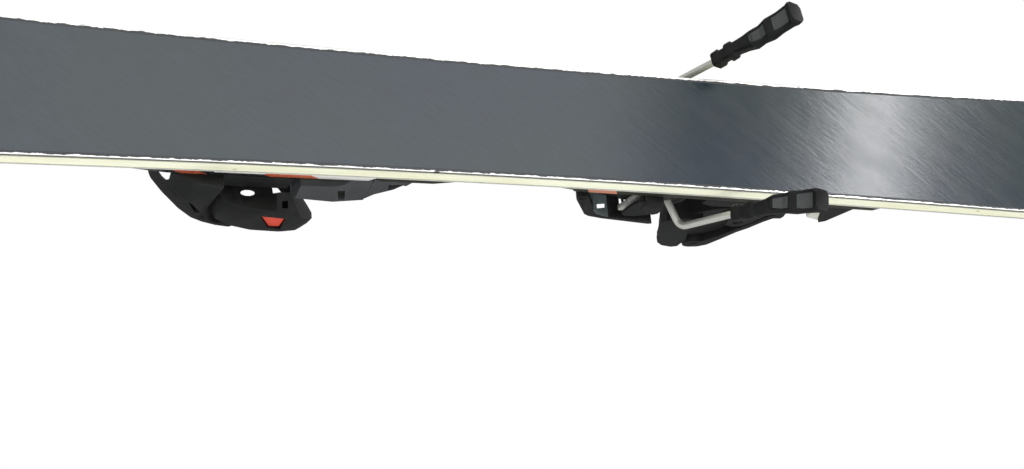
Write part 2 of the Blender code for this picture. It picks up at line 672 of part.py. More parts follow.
def wedge_piece(name, table, foot, low):
    """A tapering ramp: stations of x, half width at the shoulder and height of the top."""
    shape = bmesh.new()
    loops = []
    for x, half, top in table:
        shoulder = top - SHOULDER_DROP
        loops.append([(x, -foot, low), (x, foot, low), (x, half, shoulder), (x, half - TOP_INSET, top),
                      (x, TOP_INSET - half, top), (x, -half, shoulder)])
    rings(shape, loops)
    return finish(name, shape, GREY)


SOLE_FOOT = plate_half(FRONT_PLATE_BACK)
sole_plate = wedge_piece("sole_plate", SOLE_STATIONS, SOLE_FOOT, SEAT)
SOLE_UNDERCUT = mm([(150.0, 19.0), (150.0, 28.0), (118.0, 27.0), (112.0, 24.5), (108.5, 19.0)])
SOLE_POCKET = mm([(115.0, 30.0), (110.5, 29.5), (108.5, 37.5), (112.0, 37.5)])
TONGUE_POCKET = mm([(87.0, 24.0), (85.0, 31.5), (77.0, 28.0), (76.0, 24.0)])


def cut_sides(piece, name, outline, inner):
    """The same pocket in both sides of a piece, as deep as its inner half width."""
    for label, side in (("left", 1), ("right", -1)):
        cut(piece, side_block(name + "_" + label, outline, side * inner, side * 0.05, GREY))


cut_sides(sole_plate, "sole_undercut", SOLE_UNDERCUT, SOLE_FOOT - 0.0012)
cut_sides(sole_plate, "sole_pocket", SOLE_POCKET, SOLE_FOOT + 0.0022)
tongue = wedge_piece("sole_plate_tongue", TONGUE_STATIONS, SOLE_FOOT - 2 * GAP, SEAT - 0.002)
tongue_strip = plate("tongue_strip", TONGUE_STRIP_BACK, SEAM_X - GAP, TONGUE_STRIP_RAMP, PLATE_STEP, GREY)
combine(tongue, tongue_strip, "UNION")
cut_sides(tongue, "tongue_pocket", TONGUE_POCKET, SOLE_FOOT - 0.0022)
PAD_FRONT = AFD_FRONT - 0.004
PAD_LENGTH = 0.033
PAD_HALF = 0.030
cross_block("sole_slider", box_outline(-PAD_HALF, PAD_HALF, AFD_TOP + GAP, SOLE_Z, 0.001),
            PAD_FRONT - PAD_LENGTH, PAD_FRONT, PALE)


# Brake base: a tray with a front hinge lug pair and two bearing posts at the back
POST_WALL = 0.0070
BASE_TOP = SEAT + 0.012
WALL_TOP = BRAKE_PIVOT_Z + 0.0015
brake_base = side_block(
    "brake_base",
    [(BRAKE_BASE_BACK, SEAT), (BRAKE_BASE_FRONT, SEAT), (BRAKE_BASE_FRONT, PEDAL_PIVOT_Z + 0.001),
     (PEDAL_PIVOT_X + 0.002, PEDAL_PIVOT_Z + 0.0045), (PEDAL_PIVOT_X - 0.004, PEDAL_PIVOT_Z + 0.0045),
     (PEDAL_PIVOT_X - 0.010, BASE_TOP), (PEDAL_PIVOT_X - 0.026, BASE_TOP),
     (PEDAL_PIVOT_X - 0.030, WALL_TOP - 0.002), (PEDAL_PIVOT_X - 0.036, WALL_TOP),
     (BRAKE_PIVOT_X + 0.0075, WALL_TOP), (BRAKE_PIVOT_X + 0.004, BRAKE_PIVOT_Z + 0.0065),
     (BRAKE_PIVOT_X - 0.004, BRAKE_PIVOT_Z + 0.0065), (BRAKE_BASE_BACK, BRAKE_PIVOT_Z)],
    -BRAKE_BASE_HALF, BRAKE_BASE_HALF, BLACK)
INNER_HALF = BRAKE_BASE_HALF - POST_WALL
EAR_HALF = BRAKE_BASE_HALF + 0.0101
EAR_WALL = 0.0030
EAR_SIDE = [(BRAKE_PIVOT_X + 0.0270, SEAT), (BRAKE_PIVOT_X + 0.0255, 0.0300),
            (BRAKE_PIVOT_X + 0.0180, 0.0370), (BRAKE_PIVOT_X + 0.0130, 0.0395),
            (BRAKE_PIVOT_X + 0.0105, 0.0370), (BRAKE_PIVOT_X + 0.0115, 0.0300),
            (BRAKE_PIVOT_X + 0.0150, SEAT)]
ears = side_block("brake_ears", EAR_SIDE, -EAR_HALF, EAR_HALF, BLACK)
combine(brake_base, ears, "UNION")
tray = cross_block("brake_tray", box_outline(-INNER_HALF, INNER_HALF, SEAT + BRAKE_FLOOR, 0.08),
                   BRAKE_BASE_BACK - 0.01, BRAKE_BASE_FRONT + 0.01, BLACK)
pivot_bore = rod("brake_pivot_bore", (BRAKE_PIVOT_X, -0.05, BRAKE_PIVOT_Z),
                 (BRAKE_PIVOT_X, 0.05, BRAKE_PIVOT_Z), WIRE_RADIUS + 0.0005, BLACK)
pedal_bore = rod("pedal_pivot_bore", (PEDAL_PIVOT_X, -0.05, PEDAL_PIVOT_Z),
                 (PEDAL_PIVOT_X, 0.05, PEDAL_PIVOT_Z), PEDAL_PIN_RADIUS + GAP, BLACK)
link_bore = rod("link_pivot_bore", (LINK_PIVOT_X, -0.05, LINK_PIVOT_Z),
                (LINK_PIVOT_X, 0.05, LINK_PIVOT_Z), PEDAL_PIN_RADIUS + GAP, BLACK)
cut(brake_base, tray)
for label, side in (("left", 1), ("right", -1)):
    ear_gap = sorted_box(side * BRAKE_BASE_HALF, side * (EAR_HALF - EAR_WALL), SEAT + BRAKE_FLOOR, 0.08)
    cut(brake_base, cross_block("brake_ear_gap_" + label, ear_gap, BRAKE_BASE_BACK, BRAKE_BASE_FRONT, BLACK))
cut(brake_base, pivot_bore, pedal_bore, link_bore)

# Brake wire: two arms, two pivot journals and the crank under the pedal, bent from one bar
CRANK = (0.0155, 0.0120)
ARM_BEND_X = -0.0065
ARM_END = (-0.0280, -0.0560)
BEND_RADIUS = 0.0060


def wire_half(side):
    return [
        (ARM_END[0], side * ARM_END_HALF_SPAN, ARM_END[1]),
        (ARM_BEND_X, side * WIRE_HALF_SPAN, 0.0),
        (0.0, side * BRAKE_BASE_HALF, 0.0),
        (0.0, side * CRANK_HALF_SPAN, 0.0),
        (CRANK[0], side * CRANK_HALF_SPAN, CRANK[1]),
    ]


wire_corners = wire_half(1) + list(reversed(wire_half(-1)))
brake_place = (BRAKE_PIVOT_X, 0.0, BRAKE_PIVOT_Z)
bent_wire("brake_wire", rounded_path(wire_corners, BEND_RADIUS), WIRE_RADIUS, CHROME, brake_place)

# Brake feet: moulded on the arms, a collared neck that flares to a hooked paddle.
# Each section has its place along the foot, half width, half thickness and bow towards the ski.
FOOT_NECK = Vector((-0.0215, WIRE_HALF_SPAN + 0.0035, -0.0395))
FOOT_TIP = Vector((-0.0440, WIRE_HALF_SPAN + 0.0130, -0.0965))
FOOT_SECTIONS = ((0.00, 0.0046, 0.0046, 0.0), (0.08, 0.0048, 0.0048, 0.0), (0.09, 0.0038, 0.0038, 0.0),
                 (0.16, 0.0038, 0.0038, 0.0), (0.17, 0.0050, 0.0050, 0.0), (0.24, 0.0050, 0.0048, 0.0),
                 (0.26, 0.0038, 0.0038, 0.0), (0.38, 0.0044, 0.0040, 0.0007),
                 (0.48, 0.0054, 0.0048, 0.0014), (0.58, 0.0056, 0.0032, 0.0012),
                 (0.68, 0.0063, 0.0050, 0.0009), (0.80, 0.0065, 0.0030, 0.0006),
                 (0.92, 0.0067, 0.0034, 0.0002), (0.96, 0.0067, 0.0054, 0.0), (1.00, 0.0060, 0.0060, 0.0))


def brake_foot(label, side):
    along = FOOT_TIP - FOOT_NECK
    along.y *= side
    start = Vector((FOOT_NECK.x, side * FOOT_NECK.y, FOOT_NECK.z))
    outward = Vector((0, side, 0))
    outward = (outward - along * outward.dot(along) / along.length_squared).normalized()
    forward = along.cross(outward).normalized()
    shape = bmesh.new()
    loops = []
    for share, half_wide, half_thin, bow in FOOT_SECTIONS:
        centre = start + along * share - outward * bow
        corner = half_thin * 0.35
        loop = []
        for a, b in ((-1, -1), (1, -1), (1, 1), (-1, 1)):
            first = (a * (half_wide - corner), b * half_thin)
            second = (a * half_wide, b * (half_thin - corner))
            pair = (second, first) if a * b > 0 else (first, second)
            for across, ahead in pair:
                loop.append(centre + outward * across + forward * ahead)
        loops.append(loop)
    rings(shape, loops)
    foot = finish("brake_foot_" + label, shape, BLACK, brake_place)
    bend = Vector((ARM_BEND_X, side * WIRE_HALF_SPAN, 0.0))
    wire_end = Vector((ARM_END[0], side * ARM_END_HALF_SPAN, ARM_END[1]))
    direction = (wire_end - bend).normalized()
    tip = wire_end + direction * 0.0006
    top = bend + direction * 0.030
    cut(foot, rod("foot_socket_" + label, tip, top, WIRE_RADIUS + GAP, BLACK, brake_place, sides=12))
    return foot


brake_foot("left", 1)
brake_foot("right", -1)

# Brake pedal: a bent plate hinged at its front foot, with two slots and a channel for the crank
pedal_place = (PEDAL_PIVOT_X, 0.0, PEDAL_PIVOT_Z)
PEDAL_SIDE = mm([(3.6, -1.0), (3.0, 2.5), (-13.8, 27.2), (-18.0, 30.5), (-28.0, 33.6), (-63.6, 40.0),
                 (-65.5, 38.8), (-63.5, 37.2), (-46.0, 33.4), (-28.0, 29.6), (-21.5, 26.0),
                 (-17.5, 21.5), (-2.6, -1.8), (0.5, -3.6)])
pedal = side_block("brake_pedal", PEDAL_SIDE, -PEDAL_HALF, PEDAL_HALF, BLACK, pedal_place)
leg_gap = side_block("pedal_leg_gap", mm([(9, -10), (9, 8), (2, 14), (-8, 24), (-30, 24), (-30, -10)]),
                     -PEDAL_LEG_INNER, PEDAL_LEG_INNER, BLACK, pedal_place)
tongue_end = plan_block("pedal_tongue_end", mm([(-52, -20), (-80, -20), (-80, 20), (-52, 20)]),
                        0.015, 0.060, BLACK, pedal_place)
WEB_SIDE = mm([(-14.0, 8.0), (-13.0, 20.0), (-17.0, 27.0), (-37.0, 32.5), (-41.0, 32.5), (-37.0, 17.0),
               (-30.0, 10.0)])
WEB_OUTER = BRAKE_BASE_HALF - POST_WALL - 0.0004
WEB_INNER = WEB_OUTER - 0.0020
pedal_cuts = [tongue_end]
FRONT_SLOT = [(x, y, 0.057) for x, y in mm([(-55.1, -27.8), (-63.7, -26.9), (-63.5, -29.3), (-55.0, -30.5)])]
for label, side in (("left", 1), ("right", -1)):
    rear = [(-41.0, side * 19.5), (-80.0, side * 19.5), (-80.0, side * 29.2), (-41.0, side * 29.2)]
    pedal_cuts.append(plan_block("pedal_rear_slot_" + label, mm(rear), 0.015, 0.060, BLACK, pedal_place))
    pedal_cuts.append(slanted_cut("pedal_front_slot_" + label, FRONT_SLOT, side, 0.004, 0.012, PEDAL_SLANT))
pedal_eye = rod("pedal_eye", (0, -0.05, 0), (0, 0.05, 0), PEDAL_PIN_RADIUS + GAP, BLACK, pedal_place)
cut(pedal, leg_gap)
for label, side in (("left", 1), ("right", -1)):
    web = side_block("pedal_web_" + label, WEB_SIDE, side * WEB_INNER, side * WEB_OUTER, BLACK, pedal_place)
    combine(pedal, web, "UNION")
cut(pedal, *pedal_cuts, pedal_eye)
rod("pedal_pin", (PEDAL_PIVOT_X, GAP - PEDAL_HALF, PEDAL_PIVOT_Z),
    (PEDAL_PIVOT_X, PEDAL_HALF - GAP, PEDAL_PIVOT_Z), PEDAL_PIN_RADIUS, STEEL, sides=12)


# Lift links beside the tray, from the base to the pedal
def lift_link(label, side):
    width = 0.0022
    outline = []
    for i in range(5):
        angle = math.pi + math.pi * i / 4
        outline.append((width * math.cos(angle), width * math.sin(angle)))
    for i in range(5):
        angle = math.pi * i / 4
        outline.append((width * math.cos(angle), LINK_LENGTH + width * math.sin(angle)))
    place = (LINK_PIVOT_X, 0.0, LINK_PIVOT_Z)
    low = side * (LINK_Y - LINK_THICK / 2)
    high = side * (LINK_Y + LINK_THICK / 2)
    bar = side_block("lift_link_" + label, outline, low, high, CHROME, place)
    journal = rod("link_journal_" + label, (0, side * (BRAKE_BASE_HALF - 0.005), 0), (0, side * LINK_Y, 0),
                  PEDAL_PIN_RADIUS - 0.0003, CHROME, place, sides=12)
    return combine(bar, journal, "UNION")


lift_link("left", 1)
lift_link("right", -1)

# Heel track, its screwed end wedge and the pale position lock
heel_track = cross_block(
    "heel_track", box_outline(-HEEL_TRACK_HALF, HEEL_TRACK_HALF, SEAT, SEAT + HEEL_TRACK_HEIGHT, 0.002),
    HEEL_TRACK_BACK + 0.024, HEEL_TRACK_FRONT, STEEL)
WEDGE_FRONT = HEEL_TRACK_BACK + 0.0237
end_wedge = side_block(
    "end_wedge",
    [(WEDGE_FRONT, SEAT), (HEEL_TRACK_BACK, SEAT), (HEEL_TRACK_BACK + 0.002, SEAT + 0.004),
     (WEDGE_FRONT - 0.0165, 0.0540), (WEDGE_FRONT - 0.0130, 0.0575), (WEDGE_FRONT, 0.0310)],
    -CARRIAGE_HALF - 0.001, CARRIAGE_HALF + 0.001, BLACK)
TRACK_FACE = SEAT + HEEL_TRACK_HEIGHT + GAP
LOCK_FRONT = CARRIAGE_BACK - PRESSURE_TRAVEL - 0.0010
side_block("position_lock",
           [(WEDGE_FRONT + GAP, TRACK_FACE), (LOCK_FRONT, TRACK_FACE), (LOCK_FRONT, 0.0400),
            (WEDGE_FRONT + 0.0005, 0.0440), (WEDGE_FRONT - 0.0005, 0.0515), (WEDGE_FRONT - 0.0090, 0.0550),
            (WEDGE_FRONT - 0.0120, 0.0565), (WEDGE_FRONT + GAP, 0.0315)],
           -0.0310, 0.0310, PALE)

# Heel carriage: a block with two towers that carry the axle, and a tunnel for the pressure spring
TOWER_TOP = HEEL_PIVOT_Z + 0.0080
carriage = side_block(
    "heel_carriage",
    [(CARRIAGE_BACK, TRACK_FACE), (CARRIAGE_FRONT, TRACK_FACE), (CARRIAGE_FRONT, CARRIAGE_TOP - 0.004),
     (CARRIAGE_FRONT - 0.008, CARRIAGE_TOP), (HEEL_PIVOT_X + 0.0140, CARRIAGE_TOP),
     (HEEL_PIVOT_X + 0.0080, HEEL_PIVOT_Z), (HEEL_PIVOT_X + 0.0050, TOWER_TOP - 0.002),
     (HEEL_PIVOT_X, TOWER_TOP), (HEEL_PIVOT_X - 0.0060, TOWER_TOP - 0.002),
     (HEEL_PIVOT_X - 0.0090, HEEL_PIVOT_Z), (HEEL_PIVOT_X - 0.0130, CARRIAGE_TOP + 0.007),
     (CARRIAGE_BACK, CARRIAGE_TOP + 0.005)],
    -CARRIAGE_HALF, CARRIAGE_HALF, BLACK)
between = cross_block("carriage_gap", box_outline(-HEEL_CORE_HALF - GAP, HEEL_CORE_HALF + GAP,
                                                 CARRIAGE_TOP - 0.0005, 0.1),
                      CARRIAGE_BACK - 0.01, CARRIAGE_FRONT + 0.01, BLACK)
TUNNEL_RADIUS = 0.0050
TUNNEL_Z = TRACK_FACE + TUNNEL_RADIUS + 0.0008
tunnel = rod("pressure_tunnel", (CARRIAGE_BACK - 0.01, 0, TUNNEL_Z), (CARRIAGE_FRONT - 0.020, 0, TUNNEL_Z),
             TUNNEL_RADIUS, BLACK)
axle_bore = rod("heel_axle_bore", (HEEL_PIVOT_X, -0.05, HEEL_PIVOT_Z), (HEEL_PIVOT_X, 0.05, HEEL_PIVOT_Z),
                HEEL_AXLE_RADIUS + GAP, BLACK)
cut(carriage, between, tunnel, axle_bore)
coil("pressure_spring", (CARRIAGE_BACK + 0.002, 0, TUNNEL_Z), (CARRIAGE_FRONT - 0.024, 0, TUNNEL_Z),
     TUNNEL_RADIUS - SPRING_WIRE - 0.0006, SPRING_TURNS, STEEL)
rod("heel_axle", (HEEL_PIVOT_X, 0.0005 - CARRIAGE_HALF, HEEL_PIVOT_Z),
    (HEEL_PIVOT_X, CARRIAGE_HALF - 0.0005, HEEL_PIVOT_Z), HEEL_AXLE_RADIUS, CHROME)

# Heel housing, measured from the axle: the spring core between the towers, and the wider cup in front
heel_place = (HEEL_PIVOT_X, 0.0, HEEL_PIVOT_Z)
CORE_SIDE = mm([(-9.0, -9), (-3, -14), (8, -15), (22, -8), (34, 3), (30, 20), (26, 44), (18, 49),
                (11, 41), (3.0, 37), (-2.5, 30), (-6.0, 14), (-9.0, 0)])
CUP_SIDE = mm([(24, 0), (38, 1), (46.5, 6), (48.5, 10), (34.5, 43), (31, 49), (25, 54.5), (17, 57),
               (13.2, 55), (13.8, 50), (13.8, 43), (16, 38), (22, 24)])
MOUTH_SIDE = mm([(60, 17), (46, 13.5), (38, 12), (32, 17), (27, 30), (26, 38), (31, 41.5), (60, 46)])
CUP_HALF = 0.0300
CUP_MOUTH_HALF = 0.0265
heel_housing = side_block("heel_housing", CORE_SIDE, -HEEL_CORE_HALF, HEEL_CORE_HALF, BLACK, heel_place)
heel_cup = side_block("heel_cup_block", CUP_SIDE, -CUP_HALF, CUP_HALF, BLACK, heel_place)
combine(heel_housing, heel_cup, "UNION")
mouth = side_block("heel_mouth", MOUTH_SIDE, -CUP_MOUTH_HALF, CUP_MOUTH_HALF, BLACK, heel_place)
axle_eye = rod("heel_axle_eye", (0, -0.05, 0), (0, 0.05, 0), HEEL_AXLE_RADIUS + GAP, BLACK, heel_place)
bore_along = Vector((-math.cos(HEEL_BORE_ANGLE), 0, -math.sin(HEEL_BORE_ANGLE)))
BORE_START = Vector((0.0160, 0, 0.0340))
heel_bore = rod("heel_bore", BORE_START, BORE_START + bore_along * 0.06, HEEL_BORE_RADIUS, BLACK, heel_place)
lug = side_block("heel_lug", [(0.0, 0.034), (0.013, 0.040)] + [
    (LEVER_X + 0.0042 * math.cos(a), LEVER_Z + 0.0042 * math.sin(a))
    for a in (math.radians(36 * i) for i in range(6))], -LUG_HALF, LUG_HALF, BLACK, heel_place)
combine(heel_housing, lug, "UNION")
lever_eye = rod("lever_eye", (LEVER_X, -0.05, LEVER_Z), (LEVER_X, 0.05, LEVER_Z), LEVER_PIN_RADIUS + GAP,
                BLACK, heel_place)


def front_arc(name, edge_x, depth, low, high):
    """A guide that hollows a front edge in plan, deepest in the middle."""
    radius = (CUP_HALF ** 2 + depth ** 2) / (2 * depth)
    sweep = math.asin(CUP_HALF / radius)
    arc = []
    for i in range(9):
        angle = sweep * (i / 4 - 1)
        arc.append((edge_x - depth + radius * (1 - math.cos(angle)), radius * math.sin(angle)))
    return plan_block(name, arc + [(0.08, CUP_HALF), (0.08, -CUP_HALF)], low, high, BLACK, heel_place)


upper_arc = front_arc("heel_lip_arc", 0.0345, 0.012, 0.039, 0.060)
lower_arc = front_arc("heel_tread_arc", 0.0480, 0.005, -0.005, 0.016)
cut(heel_housing, mouth, upper_arc, lower_arc, axle_eye, heel_bore, lever_eye)

# Heel spring train in the slanted bore: piston, spring, nut and setting screw
HEEL_PISTON_RADIUS = HEEL_BORE_RADIUS - 0.0005


def along_bore(distance):
    return BORE_START + bore_along * distance


rod("heel_piston", along_bore(GAP), along_bore(GAP + HEEL_PISTON_LENGTH), HEEL_PISTON_RADIUS, STEEL,
    heel_place)
HEEL_COIL_START = HEEL_PISTON_LENGTH + SPRING_WIRE + 2 * GAP
HEEL_COIL_END = HEEL_COIL_START + HEEL_COIL_LENGTH
coil("heel_spring", along_bore(HEEL_COIL_START), along_bore(HEEL_COIL_END), HEEL_PISTON_RADIUS - SPRING_WIRE,
     4, STEEL, heel_place)
HEEL_NUT_START = HEEL_COIL_END + SPRING_WIRE + GAP
rod("heel_nut", along_bore(HEEL_NUT_START), along_bore(HEEL_NUT_START + NUT_LENGTH), HEEL_PISTON_RADIUS,
    ORANGE, heel_place, bore=0.0035)
heel_origin = Vector(heel_place)
slotted_screw("heel_setting_screw", heel_origin + along_bore(HEEL_NUT_START + NUT_LENGTH + 0.0065),
              heel_origin + along_bore(HEEL_NUT_START - 0.002), CHROME)

# Heel lever: a plate down the back of the housing, hinged on a lug at its top
lever_place = (HEEL_PIVOT_X + LEVER_X, 0.0, HEEL_PIVOT_Z + LEVER_Z)
LEVER_BARREL = 0.0078
LEVER_SIDE = [(LEVER_BARREL * math.cos(a), LEVER_BARREL * math.sin(a))
              for a in (math.radians(22 * i - 20) for i in range(6))]
LEVER_SIDE += mm([(-6.0, 6.5), (-10.5, 2.0), (-13.5, -10), (-17.6, -30), (-22.2, -50), (-25.0, -57.5),
                  (-33.0, -58.5), (-35.0, -64.0), (-28.5, -66.0), (-19.5, -60), (-17.0, -50),
                  (-12.9, -33.5), (-9.0, -16), (-5.5, -9), (-3.0, -4.2), (2.5, -3.6)])
heel_lever = side_block("heel_lever", LEVER_SIDE, -LEVER_END_HALF, LEVER_END_HALF, BLACK, lever_place)
lever_half = [(LEVER_END_HALF - 0.003, -0.070), (LEVER_END_HALF, -0.062), (LEVER_END_HALF, -0.036),
              (LEVER_HALF, -0.026), (LEVER_HALF, 0.010)]
lever_shape = cross_block("lever_shape", lever_half + [(-y, z) for y, z in reversed(lever_half)],
                          -0.030, 0.010, BLACK, lever_place)
combine(heel_lever, lever_shape, "INTERSECT")
lever_hollow = side_block("lever_hollow", mm([(-6.2, -14), (12, -14), (12, 5.0), (-4.0, 5.0), (-6.2, 3)]),
                          -LUG_HALF - 2 * GAP, LUG_HALF + 2 * GAP, BLACK, lever_place)
lever_window = side_block("lever_window", mm([(-2, -20), (-30, -20), (-30, -47), (-2, -47)]),
                          -0.0115, 0.0115, BLACK, lever_place)
lever_pin_eye = rod("lever_pin_eye", (0, -0.05, 0), (0, 0.05, 0), LEVER_PIN_RADIUS + GAP, BLACK, lever_place)
cut(heel_lever, lever_hollow, lever_window, lever_pin_eye)
rod("lever_pin", (0, GAP - LEVER_HALF, 0), (0, LEVER_HALF - GAP, 0), LEVER_PIN_RADIUS, STEEL, lever_place,
    sides=12)

# Brake spring: wound round a crossbar in the tray, ahead of the brake wire
BRAKE_SPRING_X = -0.0880
BRAKE_SPRING_Z = SEAT + BRAKE_FLOOR + 0.0050
rod("brake_spring_bar", (BRAKE_SPRING_X, 0.0006 - INNER_HALF, BRAKE_SPRING_Z),
    (BRAKE_SPRING_X, INNER_HALF - 0.0006, BRAKE_SPRING_Z), 0.0018, STEEL, sides=12)
coil("brake_spring", (BRAKE_SPRING_X, -0.013, BRAKE_SPRING_Z), (BRAKE_SPRING_X, 0.013, BRAKE_SPRING_Z),
     0.0034, SPRING_TURNS, STEEL)


# Mounting screws: head sunk in its carrier, stem through plate and top layers into the core
def mount_screw(name, x, y, face, *through):
    tip = CORE_LOW + 0.002
    head = rod(name + "_recess", (x, y, face - SCREW_HEAD - 2 * GAP), (x, y, face + 0.02),
               MOUNT_SCREW_RADIUS + 2 * GAP, BLACK)
    stem = rod(name + "_hole", (x, y, tip - GAP), (x, y, face), 0.0025 + GAP, BLACK, sides=12)
    cut(through[0], head)
    for piece in through:
        cut(piece, stem)
    return slotted_screw(name, (x, y, face - GAP), (x, y, tip), CHROME, MOUNT_SCREW_RADIUS, 0.0025)


for label, side in (("left", 1), ("right", -1)):
    mount_screw("toe_screw_" + label, 0.082, side * 0.018, 0.0330, tongue,
                top_sheet, upper_laminate, wood_core)
    mount_screw("heel_screw_" + label, HEEL_TRACK_BACK + 0.013, side * 0.020, 0.0335, end_wedge,
                rear_plate, top_sheet, upper_laminate, wood_core)
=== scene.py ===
import json
import math

import bmesh
import bpy
from mathutils import Matrix, Vector

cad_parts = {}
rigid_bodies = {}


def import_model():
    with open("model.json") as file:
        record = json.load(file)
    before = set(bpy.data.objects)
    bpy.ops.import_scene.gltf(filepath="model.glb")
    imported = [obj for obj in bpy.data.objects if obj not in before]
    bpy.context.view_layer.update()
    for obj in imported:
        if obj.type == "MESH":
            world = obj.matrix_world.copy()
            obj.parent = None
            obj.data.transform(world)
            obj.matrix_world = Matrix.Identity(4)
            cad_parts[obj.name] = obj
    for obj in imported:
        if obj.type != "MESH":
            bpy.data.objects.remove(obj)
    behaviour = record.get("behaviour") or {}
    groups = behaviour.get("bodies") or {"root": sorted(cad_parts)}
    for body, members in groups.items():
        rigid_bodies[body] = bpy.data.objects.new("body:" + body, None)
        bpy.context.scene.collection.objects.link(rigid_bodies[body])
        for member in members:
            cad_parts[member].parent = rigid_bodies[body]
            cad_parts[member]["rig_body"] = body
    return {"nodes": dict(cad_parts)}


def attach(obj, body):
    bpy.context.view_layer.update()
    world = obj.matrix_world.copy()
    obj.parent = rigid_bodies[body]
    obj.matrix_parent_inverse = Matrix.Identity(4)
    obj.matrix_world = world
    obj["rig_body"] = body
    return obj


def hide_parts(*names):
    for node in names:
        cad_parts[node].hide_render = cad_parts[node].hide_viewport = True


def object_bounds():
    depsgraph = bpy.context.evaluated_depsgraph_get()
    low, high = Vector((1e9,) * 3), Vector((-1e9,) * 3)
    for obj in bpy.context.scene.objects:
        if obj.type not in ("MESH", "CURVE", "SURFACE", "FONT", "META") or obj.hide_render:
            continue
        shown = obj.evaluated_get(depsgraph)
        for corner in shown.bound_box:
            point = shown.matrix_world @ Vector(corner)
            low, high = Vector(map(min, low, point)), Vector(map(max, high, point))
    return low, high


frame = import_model()
cad_low, cad_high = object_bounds()
nodes = frame["nodes"]

# The view: the camera hangs below the right side of the ski, ahead of the toe piece,
# and looks up at the running base with a short telephoto lens.
CAMERA_PLACE = Vector((0.45104, -0.36874, -0.90477))
CAMERA_TURN = Vector((-0.3073, 0.4223, 0.0253))
SENSOR_WIDTH = 36.0
FOCAL_LENGTH = 66.8
NEAR_LIMIT = 0.05
FAR_LIMIT = 50.0


def new_object(name, data):
    """An object in the scene, at the origin."""
    made = bpy.data.objects.new(name, data)
    bpy.context.scene.collection.objects.link(made)
    return made


lens = bpy.data.cameras.new("photo_camera")
lens.sensor_width = SENSOR_WIDTH
lens.lens = FOCAL_LENGTH
lens.clip_start = NEAR_LIMIT
lens.clip_end = FAR_LIMIT
camera = new_object("photo_camera", lens)
to_camera = Matrix.Rotation(CAMERA_TURN.length, 3, CAMERA_TURN) @ Matrix.Diagonal((-1, 1, -1))
camera.matrix_world = Matrix.Translation(CAMERA_PLACE) @ to_camera.transposed().to_4x4()
bpy.context.scene.camera = camera
bpy.context.scene.view_settings.view_transform = "Standard"

# Running base: a sheet of black sintered polyethylene, ground on a stone that leaves fine
# slanted lines, then waxed. It is glued between the two steel edges and is level with them.
BASE_SLATE = (0.021, 0.041, 0.070)
BASE_GREEN = (0.024, 0.047, 0.056)
BASE_LINE = (0.016, 0.020, 0.024)
BASE_PIT = (0.02, 0.022, 0.025)
BASE_CHALK = (0.34, 0.35, 0.34)
LINE_TURN = math.radians(-34)
BASE_REACH = 0.00026


def new_finish(name):
    """A material with its tree and its surface shader, ready to be wired."""
    made = bpy.data.materials.new(name)
    made.use_nodes = True
    return made, made.node_tree, made.node_tree.nodes["Principled BSDF"]


def add(tree, kind, inputs=None, **settings):
    """One shader or geometry node; an input may be a value or another node's output."""
    made = tree.nodes.new(kind)
    for key, value in settings.items():
        setattr(made, key, value)
    for key, value in (inputs or {}).items():
        if isinstance(value, bpy.types.NodeSocket):
            tree.links.new(value, made.inputs[key])
        else:
            made.inputs[key].default_value = value
    return made


def span(tree, value, low, high, to_low=0.0, to_high=1.0):
    """Stretch a value from one range to another, held at its ends."""
    return add(tree, "ShaderNodeMapRange", {
        "Value": value, "From Min": low, "From Max": high,
        "To Min": to_low, "To Max": to_high}).outputs[0]


def mix(tree, share, first, second):
    """Blend two colours; 6 and 7 are the Mix node's sockets for colours."""
    first, second = (
        (*colour, 1.0) if isinstance(colour, tuple) else colour for colour in (first, second))
    return add(tree, "ShaderNodeMix", {0: share, 6: first, 7: second}, data_type="RGBA").outputs[2]


def maths(tree, first, second, operation="MULTIPLY"):
    """Arithmetic on two values."""
    return add(tree, "ShaderNodeMath", {0: first, 1: second}, operation=operation).outputs[0]


def noise(tree, place, scale, detail=2.0, rough=0.5):
    """A soft random value over the surface."""
    return add(tree, "ShaderNodeTexNoise", {
        "Vector": place, "Scale": scale, "Detail": detail, "Roughness": rough}).outputs[0]


def own_place(tree, turn=(0.0, 0.0, 0.0), scale=(1.0, 1.0, 1.0)):
    """The surface's own coordinates, turned and stretched for a pattern."""
    source = add(tree, "ShaderNodeTexCoord").outputs["Object"]
    return add(tree, "ShaderNodeMapping", {
        "Vector": source, "Rotation": turn, "Scale": scale}).outputs[0]


def new_effect(name, takes, gives):
    """An empty shader group with named sockets, and its two ends."""
    group = bpy.data.node_groups.new(name, "ShaderNodeTree")
    for label, kind, value in takes:
        socket = group.interface.new_socket(
            label, in_out="INPUT", socket_type="NodeSocket" + kind)
        if value is not None:
            socket.default_value = value
    for label in gives:
        group.interface.new_socket(label, in_out="OUTPUT", socket_type="NodeSocketFloat")
    return group, group.nodes.new("NodeGroupInput"), group.nodes.new("NodeGroupOutput")


def use_effect(tree, group, inputs):
    """A shader group placed in a finish with its own values."""
    return add(tree, "ShaderNodeGroup", inputs, node_tree=group)


def cover(tree, shader, colour, roughness, height, strength, distance):
    """Give a finish its colour, its roughness and its fine relief."""
    bump = add(tree, "ShaderNodeBump", {
        "Height": height, "Strength": strength, "Distance": distance})
    tree.links.new(colour, shader.inputs["Base Color"])
    tree.links.new(roughness, shader.inputs["Roughness"])
    tree.links.new(bump.outputs[0], shader.inputs["Normal"])


